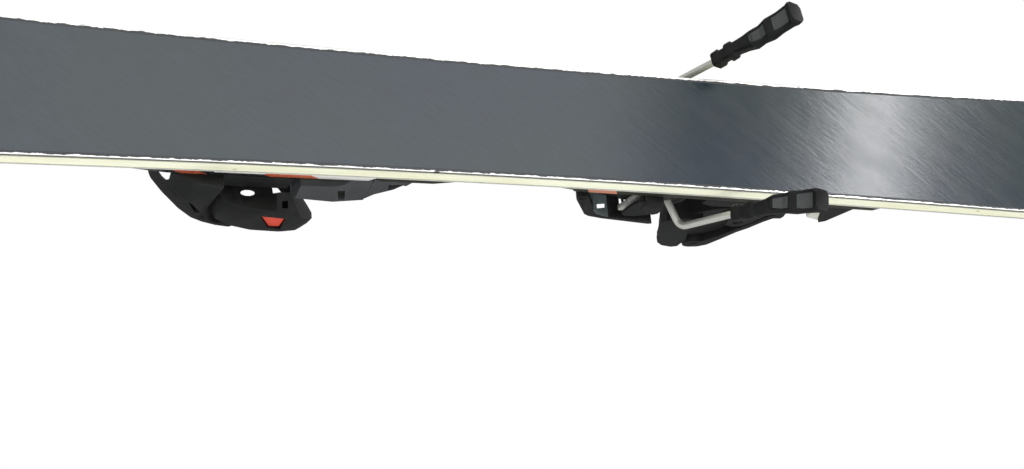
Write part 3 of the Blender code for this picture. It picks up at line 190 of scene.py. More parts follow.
# Fine lines that run along the pattern's X axis, as grinding, brushing or planing leaves them
ground_lines, taken, given = new_effect(
    "ground_lines",
    (("Place", "Vector", None), ("Spacing", "Float", 900.0), ("Run", "Float", 0.06)),
    ("Lines", "Broad"))
squeeze = add(ground_lines, "ShaderNodeCombineXYZ", {"X": taken.outputs["Run"], "Y": 1.0, "Z": 1.0})
drawn = add(ground_lines, "ShaderNodeVectorMath", {
    0: taken.outputs["Place"], 1: squeeze.outputs[0]}, operation="MULTIPLY").outputs[0]
fine = noise(ground_lines, drawn, taken.outputs["Spacing"], detail=3.0, rough=0.6)
coarse = noise(ground_lines, drawn, maths(ground_lines, taken.outputs["Spacing"], 0.22))
ground_lines.links.new(span(ground_lines, fine, 0.34, 0.66), given.inputs["Lines"])
ground_lines.links.new(span(ground_lines, coarse, 0.32, 0.68), given.inputs["Broad"])

# Sparse small marks: pits, specks and chips, each in a cell of its own
scattered_marks, taken, given = new_effect(
    "scattered_marks",
    (("Place", "Vector", None), ("Cells", "Float", 60.0), ("Share", "Float", 0.1),
     ("Size", "Float", 0.12)),
    ("Marks",))
cells = add(scattered_marks, "ShaderNodeTexVoronoi", {
    "Vector": taken.outputs["Place"], "Scale": taken.outputs["Cells"], "Randomness": 1.0})
chosen = add(scattered_marks, "ShaderNodeSeparateColor", {"Color": cells.outputs["Color"]})
is_marked = maths(scattered_marks, chosen.outputs[0], taken.outputs["Share"], "LESS_THAN")
core = maths(scattered_marks, taken.outputs["Size"], 0.4)
mark = span(scattered_marks, cells.outputs["Distance"], taken.outputs["Size"], core)
scattered_marks.links.new(maths(scattered_marks, mark, is_marked), given.inputs["Marks"])

stone_ground, tree, shader = new_finish("stone_ground_base")
place = own_place(tree)
clouds = noise(tree, place, scale=7.0, detail=4.0, rough=0.55)
mottle = noise(tree, place, scale=55.0, detail=5.0, rough=0.65)
structure = use_effect(tree, ground_lines, {
    "Place": own_place(tree, turn=(0.0, 0.0, LINE_TURN)), "Spacing": 520.0, "Run": 0.16})
lines, broad = structure.outputs["Lines"], structure.outputs["Broad"]
chalk = use_effect(tree, scattered_marks, {
    "Place": place, "Cells": 46.0, "Share": 0.055, "Size": 0.055})
pits = use_effect(tree, scattered_marks, {
    "Place": own_place(tree, scale=(0.35, 1.0, 1.0)), "Cells": 70.0, "Share": 0.05, "Size": 0.10})
colour = mix(tree, span(tree, clouds, 0.40, 0.60), BASE_SLATE, BASE_GREEN)
colour = mix(tree, span(tree, mottle, 0.35, 0.75, 0.0, 0.16), colour, BASE_LINE)
colour = mix(tree, span(tree, lines, 0.0, 1.0, 0.0, 0.34), colour, BASE_LINE)
colour = mix(tree, maths(tree, pits.outputs[0], 0.6), colour, BASE_PIT)
colour = mix(tree, maths(tree, chalk.outputs[0], 0.7), colour, BASE_CHALK)
waxed = maths(tree, span(tree, broad, 0.0, 1.0, 0.125, 0.145),
              span(tree, mottle, 0.3, 0.7, 0.95, 1.10))
cover(tree, shader, colour, waxed, maths(tree, lines, broad, "ADD"),
      strength=0.10, distance=0.00012)
shader.inputs["Specular IOR Level"].default_value = 0.42

MERGE_WITHIN = 0.00001
LAYER_FLAT = 0.0005
SAME_PLACE = 0.000001
SHARP_TURN = math.radians(30)


def paint(name, *finishes):
    """Put a finish on a CAD solid whose shape is already the real one."""
    spots = nodes[name].material_slots
    for spot, finish in zip(spots, finishes * len(spots)):
        spot.material = finish


def smooth_layer(name, finish, reach=0.0, finer=2):
    """A ski layer with its curve made finer and its sides drawn out to meet the next layer."""
    shape = bmesh.new()
    shape.from_mesh(nodes[name].data)
    bmesh.ops.remove_doubles(shape, verts=shape.verts, dist=MERGE_WITHIN)
    bmesh.ops.dissolve_limit(
        shape, angle_limit=LAYER_FLAT, verts=shape.verts, edges=shape.edges)
    for corner in shape.verts:
        corner.co.y += math.copysign(reach, corner.co.y)
    if finer:
        held = shape.edges.layers.float.new("crease_edge")
        first = min(corner.co.x for corner in shape.verts)
        last = max(corner.co.x for corner in shape.verts)
        for edge in shape.edges:
            one, other = (corner.co.x for corner in edge.verts)
            at_an_end = one - first < SAME_PLACE or last - one < SAME_PLACE
            if abs(one - other) > SAME_PLACE or at_an_end:
                edge[held] = 1.0
    mesh = bpy.data.meshes.new(name + "_skin")
    shape.to_mesh(mesh)
    shape.free()
    mesh.materials.append(finish)
    mesh.shade_smooth()
    mesh.set_sharp_from_angle(angle=SHARP_TURN)
    made = new_object(name + "_skin", mesh)
    if finer:
        rounds = made.modifiers.new("finer_curve", "SUBSURF")
        rounds.levels = finer
        rounds.render_levels = finer
    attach(made, nodes[name]["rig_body"])
    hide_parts(name)


smooth_layer("base_sheet", stone_ground, reach=BASE_REACH)

# Steel edges: two hard rolled strips of 2 by 2 mm, ground square and bright at the side.
# Their lower face is ground with the base, so it is dull there, and stones have nicked it.
STEEL_BRIGHT = (0.80, 0.80, 0.78)
STEEL_FILED = (0.45, 0.45, 0.44)
STEEL_NICK = (0.10, 0.10, 0.10)
STEEL_GROUND = (0.060, 0.064, 0.070)
STEEL_RUST = (0.24, 0.15, 0.09)
SIDECUT_RADIUS = 12.5
EDGE_HALF = 0.0335

edge_steel, tree, shader = new_finish("ground_edge_steel")
place = own_place(tree)
normal = add(tree, "ShaderNodeNewGeometry").outputs["True Normal"]
faces = add(tree, "ShaderNodeSeparateXYZ", {"Vector": normal})
spot = add(tree, "ShaderNodeSeparateXYZ", {"Vector": place})
outward = maths(tree, maths(tree, spot.outputs["X"], spot.outputs["X"]), 0.5 / SIDECUT_RADIUS)
inboard = maths(tree, maths(tree, outward, EDGE_HALF, "ADD"),
                maths(tree, spot.outputs["Y"], 0.0, "ABSOLUTE"), "SUBTRACT")
burr = noise(tree, place, scale=160.0, detail=5.0, rough=0.75)
polished = span(tree, burr, 0.35, 0.68, 0.0002, 0.0013)
below = maths(tree, span(tree, faces.outputs["Z"], -0.6, -0.8),
              maths(tree, inboard, polished, "GREATER_THAN"))
filed = use_effect(tree, ground_lines, {"Place": place, "Spacing": 1500.0, "Run": 0.05})
nicks = use_effect(tree, scattered_marks, {
    "Place": own_place(tree, scale=(1.0, 0.5, 0.5)), "Cells": 120.0, "Share": 0.10, "Size": 0.28})
stains = noise(tree, place, scale=28.0, detail=6.0, rough=0.7)
colour = mix(tree, span(tree, filed.outputs["Lines"], 0.0, 1.0, 0.0, 0.25),
             STEEL_BRIGHT, STEEL_FILED)
colour = mix(tree, span(tree, stains, 0.60, 0.74, 0.0, 0.45), colour, STEEL_RUST)
colour = mix(tree, nicks.outputs[0], colour, STEEL_NICK)
colour = mix(tree, below, colour, STEEL_GROUND)
roughness = maths(tree, span(tree, below, 0.0, 1.0, 0.30, 0.42),
                  span(tree, filed.outputs["Broad"], 0.0, 1.0, 0.9, 1.2))
depth = maths(tree, filed.outputs["Lines"], maths(tree, nicks.outputs[0], 3.0), "SUBTRACT")
cover(tree, shader, colour, roughness, depth, strength=0.25, distance=0.00015)
tree.links.new(span(tree, below, 0.0, 1.0, 1.0, 0.15), shader.inputs["Metallic"])
for side in ("left", "right"):
    smooth_layer("steel_edge_" + side, edge_steel)

# Glass laminates: two sheets of woven glass in resin, above and below the core. Only their
# sanded edges show, as thin grey lines with the ends of the yarns in them.
YARN_DARK = (0.36, 0.38, 0.30)
YARN_PALE = (0.55, 0.56, 0.46)
glass_laminate, tree, shader = new_finish("glass_laminate_edge")
yarns = use_effect(tree, ground_lines, {"Place": own_place(tree), "Spacing": 700.0, "Run": 0.5})
cover(tree, shader, mix(tree, yarns.outputs["Lines"], YARN_DARK, YARN_PALE),
      span(tree, yarns.outputs["Broad"], 0.0, 1.0, 0.42, 0.60),
      yarns.outputs["Lines"], strength=0.2, distance=0.0001)
smooth_layer("lower_laminate", glass_laminate)
smooth_layer("upper_laminate", glass_laminate, finer=0)

# Wood core: ash and poplar strips glued on edge and planed to thickness. It is closed in
# all round, and shows only where the model is taken apart.
ASH_PALE = (0.60, 0.43, 0.25)
ASH_BROWN = (0.48, 0.32, 0.17)
PORE_BROWN = (0.30, 0.18, 0.09)
ash_core, tree, shader = new_finish("laminated_ash_core")
strips = add(tree, "ShaderNodeTexWave", {
    "Vector": own_place(tree), "Scale": 22.0, "Distortion": 0.0},
    bands_direction="Y", wave_profile="SAW")
pores = use_effect(tree, ground_lines, {"Place": own_place(tree), "Spacing": 620.0, "Run": 0.03})
colour = mix(tree, span(tree, strips.outputs["Fac"], 0.45, 0.55), ASH_PALE, ASH_BROWN)
colour = mix(tree, span(tree, pores.outputs["Lines"], 0.3, 1.0, 0.0, 0.5), colour, PORE_BROWN)
cover(tree, shader, colour, span(tree, pores.outputs["Broad"], 0.0, 1.0, 0.55, 0.7),
      pores.outputs["Lines"], strength=0.2, distance=0.0001)
paint("wood_core", ash_core)

# Sidewalls: strips of cream phenol board beside the core, planed to the slope of the ski
# after pressing. Long planing marks, small yellowed patches and a few bruises.
CREAM = (0.93, 0.94, 0.74)
CREAM_YELLOWED = (0.78, 0.76, 0.48)
CREAM_PLANED = (0.62, 0.62, 0.50)
CREAM_BRUISED = (0.30, 0.28, 0.20)
cream_board, tree, shader = new_finish("planed_cream_board")
place = own_place(tree)
planed = use_effect(tree, ground_lines, {"Place": place, "Spacing": 900.0, "Run": 0.02})
age = noise(tree, own_place(tree, scale=(0.4, 1.0, 1.0)), scale=40.0, detail=4.0)
bruises = use_effect(tree, scattered_marks, {
    "Place": place, "Cells": 90.0, "Share": 0.07, "Size": 0.16})
colour = mix(tree, span(tree, age, 0.45, 0.75, 0.0, 0.6), CREAM, CREAM_YELLOWED)
colour = mix(tree, span(tree, planed.outputs["Lines"], 0.4, 1.0, 0.0, 0.22), colour, CREAM_PLANED)
colour = mix(tree, maths(tree, bruises.outputs[0], 0.55), colour, CREAM_BRUISED)
cover(tree, shader, colour, span(tree, planed.outputs["Broad"], 0.0, 1.0, 0.34, 0.50),
      planed.outputs["Lines"], strength=0.2, distance=0.0001)
for side in ("left", "right"):
    smooth_layer("sidewall_" + side, cream_board)

# Top sheet: a clear-coated white polymer film on the top laminate. The fields of colour near
# the ends are plain slanted bands; chips along its rim show the grey laminate.
LACQUER_WHITE = (0.74, 0.74, 0.72)
LACQUER_BLACK = (0.016, 0.017, 0.019)
LACQUER_ORANGE = (0.50, 0.105, 0.045)
HAIRLINE_PALE = (0.55, 0.55, 0.54)
CHIP_GREY = (0.40, 0.41, 0.38)
HAIRLINE_TURN = 0.25
TOP_SLANT = 1.1
TOP_BANDS = (
    (-0.80, LACQUER_BLACK), (-0.560, LACQUER_ORANGE), (-0.540, LACQUER_WHITE),
    (-0.455, LACQUER_BLACK), (-0.450, LACQUER_WHITE), (0.470, LACQUER_BLACK),
    (0.475, LACQUER_WHITE), (0.640, LACQUER_ORANGE), (0.668, LACQUER_BLACK))
LAST_BAND = 0.001


def banded(tree, along, bands):
    """Colour by a value: each band is (start, colour), lowest start first."""
    low = bands[0][0]
    high = bands[-1][0] + LAST_BAND
    ramp = add(tree, "ShaderNodeValToRGB", {"Fac": span(tree, along, low, high)})
    ramp.color_ramp.interpolation = "CONSTANT"
    marks = ramp.color_ramp.elements
    while len(marks) < len(bands):
        marks.new(0.5)
    for mark, (start, colour) in zip(marks, bands):
        mark.position = (start - low) / (high - low)
        mark.color = (*colour, 1.0)
    return ramp.outputs[0]


def slanted_along(tree, by_side, by_height):
    """Distance along the ski, with a slant across it and up it."""
    spot = add(tree, "ShaderNodeSeparateXYZ", {"Vector": own_place(tree)})
    leaned = maths(tree, spot.outputs["X"], maths(tree, spot.outputs["Y"], by_side), "ADD")
    return maths(tree, leaned, maths(tree, spot.outputs["Z"], by_height), "ADD")


def lacquer(name, colour_of, coat=0.5, smooth=0.16):
    """A coat over a printed colour, with fine hairlines and faint orange peel."""
    made, tree, shader = new_finish(name)
    place = own_place(tree)
    hairlines = use_effect(tree, ground_lines, {
        "Place": own_place(tree, turn=(0.0, 0.0, HAIRLINE_TURN)), "Spacing": 1300.0,
        "Run": 0.015}).outputs["Lines"]
    chips = use_effect(tree, scattered_marks, {
        "Place": place, "Cells": 60.0, "Share": 0.03, "Size": 0.07})
    colour = mix(tree, span(tree, hairlines, 0.75, 1.0, 0.0, 0.10), colour_of(tree), HAIRLINE_PALE)
    colour = mix(tree, maths(tree, chips.outputs[0], 0.5), colour, CHIP_GREY)
    cover(tree, shader, colour, span(tree, hairlines, 0.2, 1.0, smooth, smooth + 0.14),
          noise(tree, place, scale=420.0), strength=0.06, distance=0.0002)
    shader.inputs["Coat Weight"].default_value = coat
    shader.inputs["Coat Roughness"].default_value = 0.08
    return made


def top_colours(tree):
    """White, with slanted fields of orange and black toward the ends."""
    return banded(tree, slanted_along(tree, TOP_SLANT, 0.0), TOP_BANDS)


smooth_layer("top_sheet", lacquer("printed_top_lacquer", top_colours), finer=0)

# Tip and tail: black moulded ends pressed in with the layers, over spacers of the same
# plastic. They carry a fine spark-eroded grain, rubbed smooth along the rim.
PLASTIC_BLACK = (0.008, 0.0085, 0.0085)
PLASTIC_RUBBED = (0.036, 0.038, 0.038)
PLASTIC_DUST = (0.34, 0.33, 0.30)
FLOW_PALER = 1.35
FLOW_LEAST = 0.002
FLOW_DULLS = 0.08
DUST_SHOWS = 0.05
DUST_DULLS = 0.12
RUB_SHOWS = 0.7
RUB_POLISHES = 0.10

# Rubbed edges: where the surface turns within a short reach, broken up by a fine noise
rubbed_edges, taken, given = new_effect(
    "rubbed_edges",
    (("Place", "Vector", None), ("Reach", "Float", 0.0008), ("Break up", "Float", 260.0)),
    ("Rubbed",))
rounded = add(rubbed_edges, "ShaderNodeBevel", {"Radius": taken.outputs["Reach"]}, samples=6)
flat = add(rubbed_edges, "ShaderNodeNewGeometry").outputs["True Normal"]
agree = add(rubbed_edges, "ShaderNodeVectorMath", {
    0: rounded.outputs[0], 1: flat}, operation="DOT_PRODUCT")
ragged = noise(rubbed_edges, taken.outputs["Place"], taken.outputs["Break up"], detail=3.0)
rubbed = maths(rubbed_edges, span(rubbed_edges, agree.outputs["Value"], 0.985, 0.85),
               span(rubbed_edges, ragged, 0.40, 0.65))
rubbed_edges.links.new(rubbed, given.inputs["Rubbed"])

# Moulded grain: the fine dimples of a spark-eroded mould, with flow marks and dust over it
moulded_grain, taken, given = new_effect(
    "moulded_grain", (("Place", "Vector", None), ("Dimples", "Float", 1800.0)),
    ("Grain", "Flow", "Dust"))
place = taken.outputs["Place"]
dimples = add(moulded_grain, "ShaderNodeTexVoronoi", {
    "Vector": place, "Scale": taken.outputs["Dimples"]}, feature="SMOOTH_F1")
flow = noise(moulded_grain, place, scale=34.0, detail=3.0)
dust = noise(moulded_grain, place, scale=140.0, detail=7.0, rough=0.75)
moulded_grain.links.new(dimples.outputs["Distance"], given.inputs["Grain"])
moulded_grain.links.new(span(moulded_grain, flow, 0.35, 0.65), given.inputs["Flow"])
moulded_grain.links.new(span(moulded_grain, dust, 0.55, 0.75), given.inputs["Dust"])


def moulded_plastic(name, colour, rubbed, smooth=0.36, sheen=0.18):
    """Injection-moulded polyamide in one colour, rubbed where it is handled."""
    made, tree, shader = new_finish(name)
    place = own_place(tree)
    skin = use_effect(tree, moulded_grain, {"Place": place})
    worn = use_effect(tree, rubbed_edges, {"Place": place}).outputs[0]
    lighter = tuple(min(1.0, value * FLOW_PALER + FLOW_LEAST) for value in colour)
    tone = mix(tree, skin.outputs["Flow"], colour, lighter)
    tone = mix(tree, maths(tree, skin.outputs["Dust"], DUST_SHOWS), tone, PLASTIC_DUST)
    tone = mix(tree, maths(tree, worn, RUB_SHOWS), tone, rubbed)
    dull = span(tree, skin.outputs["Flow"], 0.0, 1.0, smooth, smooth + FLOW_DULLS)
    dull = maths(tree, dull, maths(tree, skin.outputs["Dust"], DUST_DULLS), "ADD")
    dull = maths(tree, dull, maths(tree, worn, RUB_POLISHES), "SUBTRACT")
    cover(tree, shader, tone, dull, skin.outputs["Grain"], strength=0.10, distance=0.00015)
    shader.inputs["Specular IOR Level"].default_value = sheen
    return made


black_polyamide = moulded_plastic("black_polyamide", PLASTIC_BLACK, PLASTIC_RUBBED)

SOLID_FLAT = math.radians(0.6)


def merged_copy(name):
    """The CAD solid's mesh with its doubles merged and its flat faces whole again."""
    shape = bmesh.new()
    shape.from_mesh(nodes[name].data)
    bmesh.ops.remove_doubles(shape, verts=shape.verts, dist=MERGE_WITHIN)
    bmesh.ops.dissolve_limit(shape, angle_limit=SOLID_FLAT, verts=shape.verts, edges=shape.edges)
    return shape


def settle(shape, name, body, *finishes, stands_for=(), radius=0.0006, steps=2, turn=32):
    """Make a piece from its mesh, round its edges and hang it on its body."""
    mesh = bpy.data.meshes.new(name)
    shape.to_mesh(mesh)
    shape.free()
    for finish in finishes:
        mesh.materials.append(finish)
    mesh.shade_smooth()
    made = new_object(name, mesh)
    rounding = made.modifiers.new("rounded_edges", "BEVEL")
    rounding.width = radius
    rounding.segments = steps
    rounding.limit_method = "ANGLE"
    rounding.angle_limit = math.radians(turn)
    rounding.harden_normals = True
    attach(made, body)
    if stands_for:
        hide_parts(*stands_for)
    return made


def dress(node, finish, radius=0.0006, steps=2, suffix="moulding"):
    """The real piece in place of its CAD solid: the same shape with rounded edges."""
    settle(merged_copy(node), node + "_" + suffix, nodes[node]["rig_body"], finish,
           stands_for=(node,), radius=radius, steps=steps)


for end in ("tip", "tail"):
    paint(end + "_spacer", black_polyamide)
    dress(end + "_protector", black_polyamide, radius=0.0012, steps=3)

# Plates: two moulded plates glued to the top sheet under toe and heel. The front one is
# printed in plain fields of colour, the rear one is black with one orange field at its front.
SATIN_RIM = (0.70, 0.70, 0.68)
LINE_TOP = 0.0166
LINE_BACK = 0.160
LINE_FRONT = 0.188
FRONT_SLANT = 1.2
FRONT_BANDS = (
    (0.000, LACQUER_WHITE), (0.152, LACQUER_ORANGE), (0.180, LACQUER_BLACK),
    (0.2145, LACQUER_ORANGE), (0.229, LACQUER_BLACK))
OLIVE_BLACK = (0.020, 0.021, 0.012)
FADED_ORANGE = (0.50, 0.20, 0.12)
REAR_SLANT = 0.6
REAR_BANDS = ((-0.300, OLIVE_BLACK), (-0.0410, FADED_ORANGE), (-0.0235, OLIVE_BLACK))
PLATE_EDGE = 0.0004


def front_colours(tree):
    """White, orange and black fields, with a thin pale line low on the black one."""
    fields = banded(tree, slanted_along(tree, 0.0, FRONT_SLANT), FRONT_BANDS)
    spot = add(tree, "ShaderNodeSeparateXYZ", {"Vector": own_place(tree)})
    within = maths(tree, maths(tree, spot.outputs["X"], LINE_BACK, "GREATER_THAN"),
                   maths(tree, spot.outputs["X"], LINE_FRONT, "LESS_THAN"))
    low = maths(tree, spot.outputs["Z"], LINE_TOP, "LESS_THAN")
    return mix(tree, maths(tree, within, low), fields, SATIN_RIM)


def rear_colours(tree):
    """Black with a hint of olive, and one faded orange field."""
    return banded(tree, slanted_along(tree, 0.0, REAR_SLANT), REAR_BANDS)


dress("front_plate", lacquer("printed_front_plate", front_colours), radius=PLATE_EDGE,
      suffix="print")
dress("rear_plate", lacquer("printed_rear_plate", rear_colours, coat=0.0, smooth=0.42),
      radius=PLATE_EDGE, suffix="print")

# Toe piece: a track and body in glass-filled polyamide, with the spring housing moulded on
# top and the nose cover clipped round it. All are one black, with a fine grain.
dress("toe_track", black_polyamide)
dress("toe_body", black_polyamide, radius=0.0010, steps=3)
dress("toe_housing", black_polyamide, radius=0.0014, steps=3)
dress("toe_cover", black_polyamide, radius=0.0008)

# Toe wings: two levers that turn on pins and hold the boot's lug. Black like the housing,
# with an orange insert pressed into a recess on the outer side.
INSERT_ORANGE = (0.46, 0.052, 0.030)
INSERT_RUBBED = (0.62, 0.16, 0.10)
orange_insert = moulded_plastic("orange_insert_plastic", INSERT_ORANGE, INSERT_RUBBED, smooth=0.30)
for side in ("left", "right"):
    dress("toe_wing_" + side, black_polyamide, radius=0.0009, steps=3)
    dress("wing_insert_" + side, orange_insert, radius=0.0005, steps=3)

# Bright steel parts: setting screws, pistons, the heel track and the brake spring's bar. They
# are turned or pressed from steel and chromed or zinc plated, and stained in use.
STEEL_STAIN = (0.30, 0.26, 0.20)
NICKEL_STAIN = (0.42, 0.41, 0.37)
SCRATCH_DARKER = 0.55
STEEL_EDGE = 0.0003


def bright_metal(name, colour, smooth, stain=STEEL_STAIN, lines=0.0, metal=1.0):
    """Plated steel with a stained film, fine scratches and uneven shine."""
    made, tree, shader = new_finish(name)
    place = own_place(tree)
    marks = use_effect(tree, ground_lines, {
        "Place": place, "Spacing": 1800.0, "Run": 0.08}).outputs["Lines"]
    film = noise(tree, place, scale=130.0, detail=5.0, rough=0.7)
    scratched = tuple(value * SCRATCH_DARKER for value in colour)
    tone = mix(tree, span(tree, film, 0.50, 0.80, 0.0, 0.45), colour, stain)
    tone = mix(tree, maths(tree, marks, lines), tone, scratched)
    cover(tree, shader, tone, span(tree, film, 0.35, 0.75, smooth, smooth + 0.16),
          marks, strength=0.08, distance=0.0001)
    shader.inputs["Metallic"].default_value = metal
    return made


chromed_bar = bright_metal("chromed_bar", colour=(0.83, 0.82, 0.78), smooth=0.12)
satin_nickel = bright_metal(
    "satin_nickel", colour=(0.62, 0.62, 0.58), smooth=0.34, stain=NICKEL_STAIN, metal=0.45)
zinc_steel = bright_metal(
    "zinc_plated_steel", colour=(0.62, 0.62, 0.60), smooth=0.30, lines=0.4)
for node in ("toe_setting_screw", "heel_setting_screw"):
    dress(node, chromed_bar, radius=STEEL_EDGE, suffix="steel")
for node in ("toe_piston", "heel_piston", "heel_track", "brake_spring_bar"):
    dress(node, zinc_steel, radius=STEEL_EDGE, suffix="steel")

# Plate screws: countersunk steel screws, zinc plated, two in the toe piece and two in the
# heel piece. Each has a drive pressed into its head.
DRIVE_RADIUS = 0.0021
DRIVE_DEPTH = 0.0014
DRIVE_RIM = 0.00005
LEAST_INSET = 0.0002
for node in ("toe_screw_left", "toe_screw_right", "heel_screw_left", "heel_screw_right"):
    shape = merged_copy(node)
    head = max(shape.faces, key=lambda face: face.calc_center_median().z + face.normal.z)
    middle = head.calc_center_median()
    reach = max((corner.co - middle).length for corner in head.verts)
    bmesh.ops.inset_region(shape, faces=[head], thickness=max(reach - DRIVE_RADIUS, LEAST_INSET))
    bmesh.ops.inset_region(shape, faces=[head], thickness=DRIVE_RIM, depth=-DRIVE_DEPTH)
    settle(shape, node + "_steel", nodes[node]["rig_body"], zinc_steel, stands_for=(node,),
           radius=0.0002)

# Pins and axle: turned from steel rod and blackened, pressed through the wings, the pedal,
# the lever and the heel housing, which all turn on them.
OXIDE_STAIN = (0.10, 0.08, 0.06)
blackened_steel = bright_metal(
    "blackened_steel", colour=(0.050, 0.050, 0.052), smooth=0.34, stain=OXIDE_STAIN, lines=0.3)
for node in ("wing_pin_left", "wing_pin_right", "pedal_pin", "lever_pin", "heel_axle"):
    dress(node, blackened_steel, radius=STEEL_EDGE, suffix="steel")

# Springs: coils of round spring wire, one for each release setting, one for the forward
# pressure and one for the brake. Each follows its turns with a smooth round section.
SPRING_WIRE = 0.0010
SPRING_SIDES = 14
TURN_STEPS = 36
SETTING_COIL = 0.0070
SMALL_COIL = 0.0034
TOE_SPRING = (Vector((0.1576, 0.0, 0.0590)), Vector((0.1656, 0.0, 0.0590)))
BORE_LEAN = math.radians(44)
BORE_ALONG = Vector((-math.cos(BORE_LEAN), 0.0, -math.sin(BORE_LEAN)))
BORE_START = Vector((-0.1460, 0.0, 0.1020))
HEEL_SPRING = (BORE_START + BORE_ALONG * 0.0056, BORE_START + BORE_ALONG * 0.0176)
PRESSURE_SPRING = (Vector((-0.1765, 0.0, 0.0332)), Vector((-0.1425, 0.0, 0.0332)))
BRAKE_SPRING = (Vector((-0.0880, -0.0130, 0.0286)), Vector((-0.0880, 0.0130, 0.0286)))


def new_growth(name, takes, gives):
    """An empty geometry tree with named sockets, and its two ends."""
    tree = bpy.data.node_groups.new(name, "GeometryNodeTree")
    for label, kind in takes:
        tree.interface.new_socket(label, in_out="INPUT", socket_type="NodeSocket" + kind)
    tree.interface.new_socket(gives, in_out="OUTPUT", socket_type="NodeSocketGeometry")
    return tree, tree.nodes.new("NodeGroupInput"), tree.nodes.new("NodeGroupOutput")


def end_growth(tree, shape, finish, given):
    """Make a tree's result one real mesh in one finish, and hand it out."""
    whole = add(tree, "GeometryNodeRealizeInstances", {"Geometry": shape})
    finished = add(tree, "GeometryNodeSetMaterial", {
        "Geometry": whole.outputs[0], "Material": finish})
    tree.links.new(finished.outputs[0], given.inputs[0])


swept_wire, taken, given = new_growth("swept_wire", (
    ("Path", "Geometry"), ("Radius", "Float"), ("Sides", "Int"), ("Finish", "Material")), "Wire")
route = add(swept_wire, "GeometryNodeMeshToCurve", {"Mesh": taken.outputs["Path"]})
section = add(swept_wire, "GeometryNodeCurvePrimitiveCircle", {
    "Resolution": taken.outputs["Sides"], "Radius": taken.outputs["Radius"]})
drawn = add(swept_wire, "GeometryNodeCurveToMesh", {
    "Curve": route.outputs[0], "Profile Curve": section.outputs[0], "Fill Caps": True})
end_growth(swept_wire, drawn.outputs[0], taken.outputs["Finish"], given)

GROWN_SHARP = math.radians(50)


def grow(tree, name, seed, values, body, stands_for=()):
    """Run a geometry tree on a seed mesh, keep the plain result and hang it on its body."""
    made = new_object(name, seed)
    growth = made.modifiers.new("growth", "NODES")
    growth.node_group = tree
    for item in tree.interface.items_tree:
        if item.in_out == "INPUT" and item.name in values:
            growth[item.identifier] = values[item.name]
    deps = bpy.context.evaluated_depsgraph_get()
    grown = bpy.data.meshes.new_from_object(
        made.evaluated_get(deps), preserve_all_data_layers=True, depsgraph=deps)
    made.modifiers.remove(growth)
    made.data = grown
    grown.name = name
    grown.shade_smooth()
    grown.set_sharp_from_angle(angle=GROWN_SHARP)
    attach(made, body)
    if stands_for:
        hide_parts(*stands_for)
    return made


def route_mesh(name, points):
    """A path as a chain of edges."""
    seed = bpy.data.meshes.new(name)
    seed.from_pydata(points, [(i, i + 1) for i in range(len(points) - 1)], [])
    return seed


def wound(node, ends, radius, turns):
    """A spring wound from one end to the other, in place of its CAD solid."""
    start, end = ends
    along = end - start
    lean = along.to_track_quat("Z", "Y")
    points = []
    for i in range(turns * TURN_STEPS + 1):
        angle = 2 * math.pi * i / TURN_STEPS
        around = lean @ Vector((radius * math.cos(angle), radius * math.sin(angle), 0.0))
        points.append(start + along * i / (turns * TURN_STEPS) + around)
    name = node + "_wound"
    grow(swept_wire, name, route_mesh(name, points),
         {"Radius": SPRING_WIRE, "Sides": SPRING_SIDES, "Finish": zinc_steel},
         nodes[node]["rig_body"], (node,))


wound("toe_spring", TOE_SPRING, SETTING_COIL, turns=3)
wound("heel_spring", HEEL_SPRING, SETTING_COIL, turns=4)
wound("pressure_spring", PRESSURE_SPRING, SMALL_COIL, turns=6)
wound("brake_spring", BRAKE_SPRING, SMALL_COIL, turns=6)

# Setting nuts: orange polyamide, moulded with their thread. The housings keep them from
# turning, so that on the real binding they travel on their screws and show the setting.
for node in ("toe_nut", "heel_nut"):
    dress(node, orange_insert, radius=0.0004)

# Nose beads: two raised lines on each side of the nose cover, in the cover's black
# polyamide. They are moulded with it and follow its outline.
BEAD_RADIUS = 0.0007
BEAD_SIDES = 10
BEAD_SUNK = 0.4
BEAD_BEND = 0.020
BEAD_BEND_STEPS = 6
COVER_PLAN = (
    (0.150, 0.0415), (0.1855, 0.0415), (0.1955, 0.0398), (0.2080, 0.0358), (0.2190, 0.0323))
BEAD_LINES = (
    ((0.2098, 0.0375), (0.2030, 0.0460), (0.1940, 0.0572), (0.1890, 0.0630)),
    ((0.2036, 0.0380), (0.2005, 0.0425), (0.1965, 0.0475)))


def bent_route(corners, radius, steps=12):
    """A path with each inner corner replaced by an arc of one bend radius."""
    points = [corners[0]]
    for before, corner, after in zip(corners, corners[1:], corners[2:]):
        back = (before - corner).normalized()
        ahead = (after - corner).normalized()
        half = back.angle(ahead) / 2
        middle = corner + (back + ahead).normalized() * radius / math.sin(half)
        first = corner + back * radius / math.tan(half) - middle
        last = corner + ahead * radius / math.tan(half) - middle
        sweep = first.angle(last)
        for i in range(steps + 1):
            share = i / steps
            swung = first * math.sin((1 - share) * sweep) + last * math.sin(share * sweep)
            points.append(middle + swung / math.sin(sweep))
    points.append(corners[-1])
    return points


def cover_side(x):
    """How far the side of the nose cover stands from the middle, at a place along the ski."""
    for (back, wide), (front, narrow) in zip(COVER_PLAN, COVER_PLAN[1:]):
        if x <= front:
            break
    return wide + (narrow - wide) * (x - back) / (front - back)


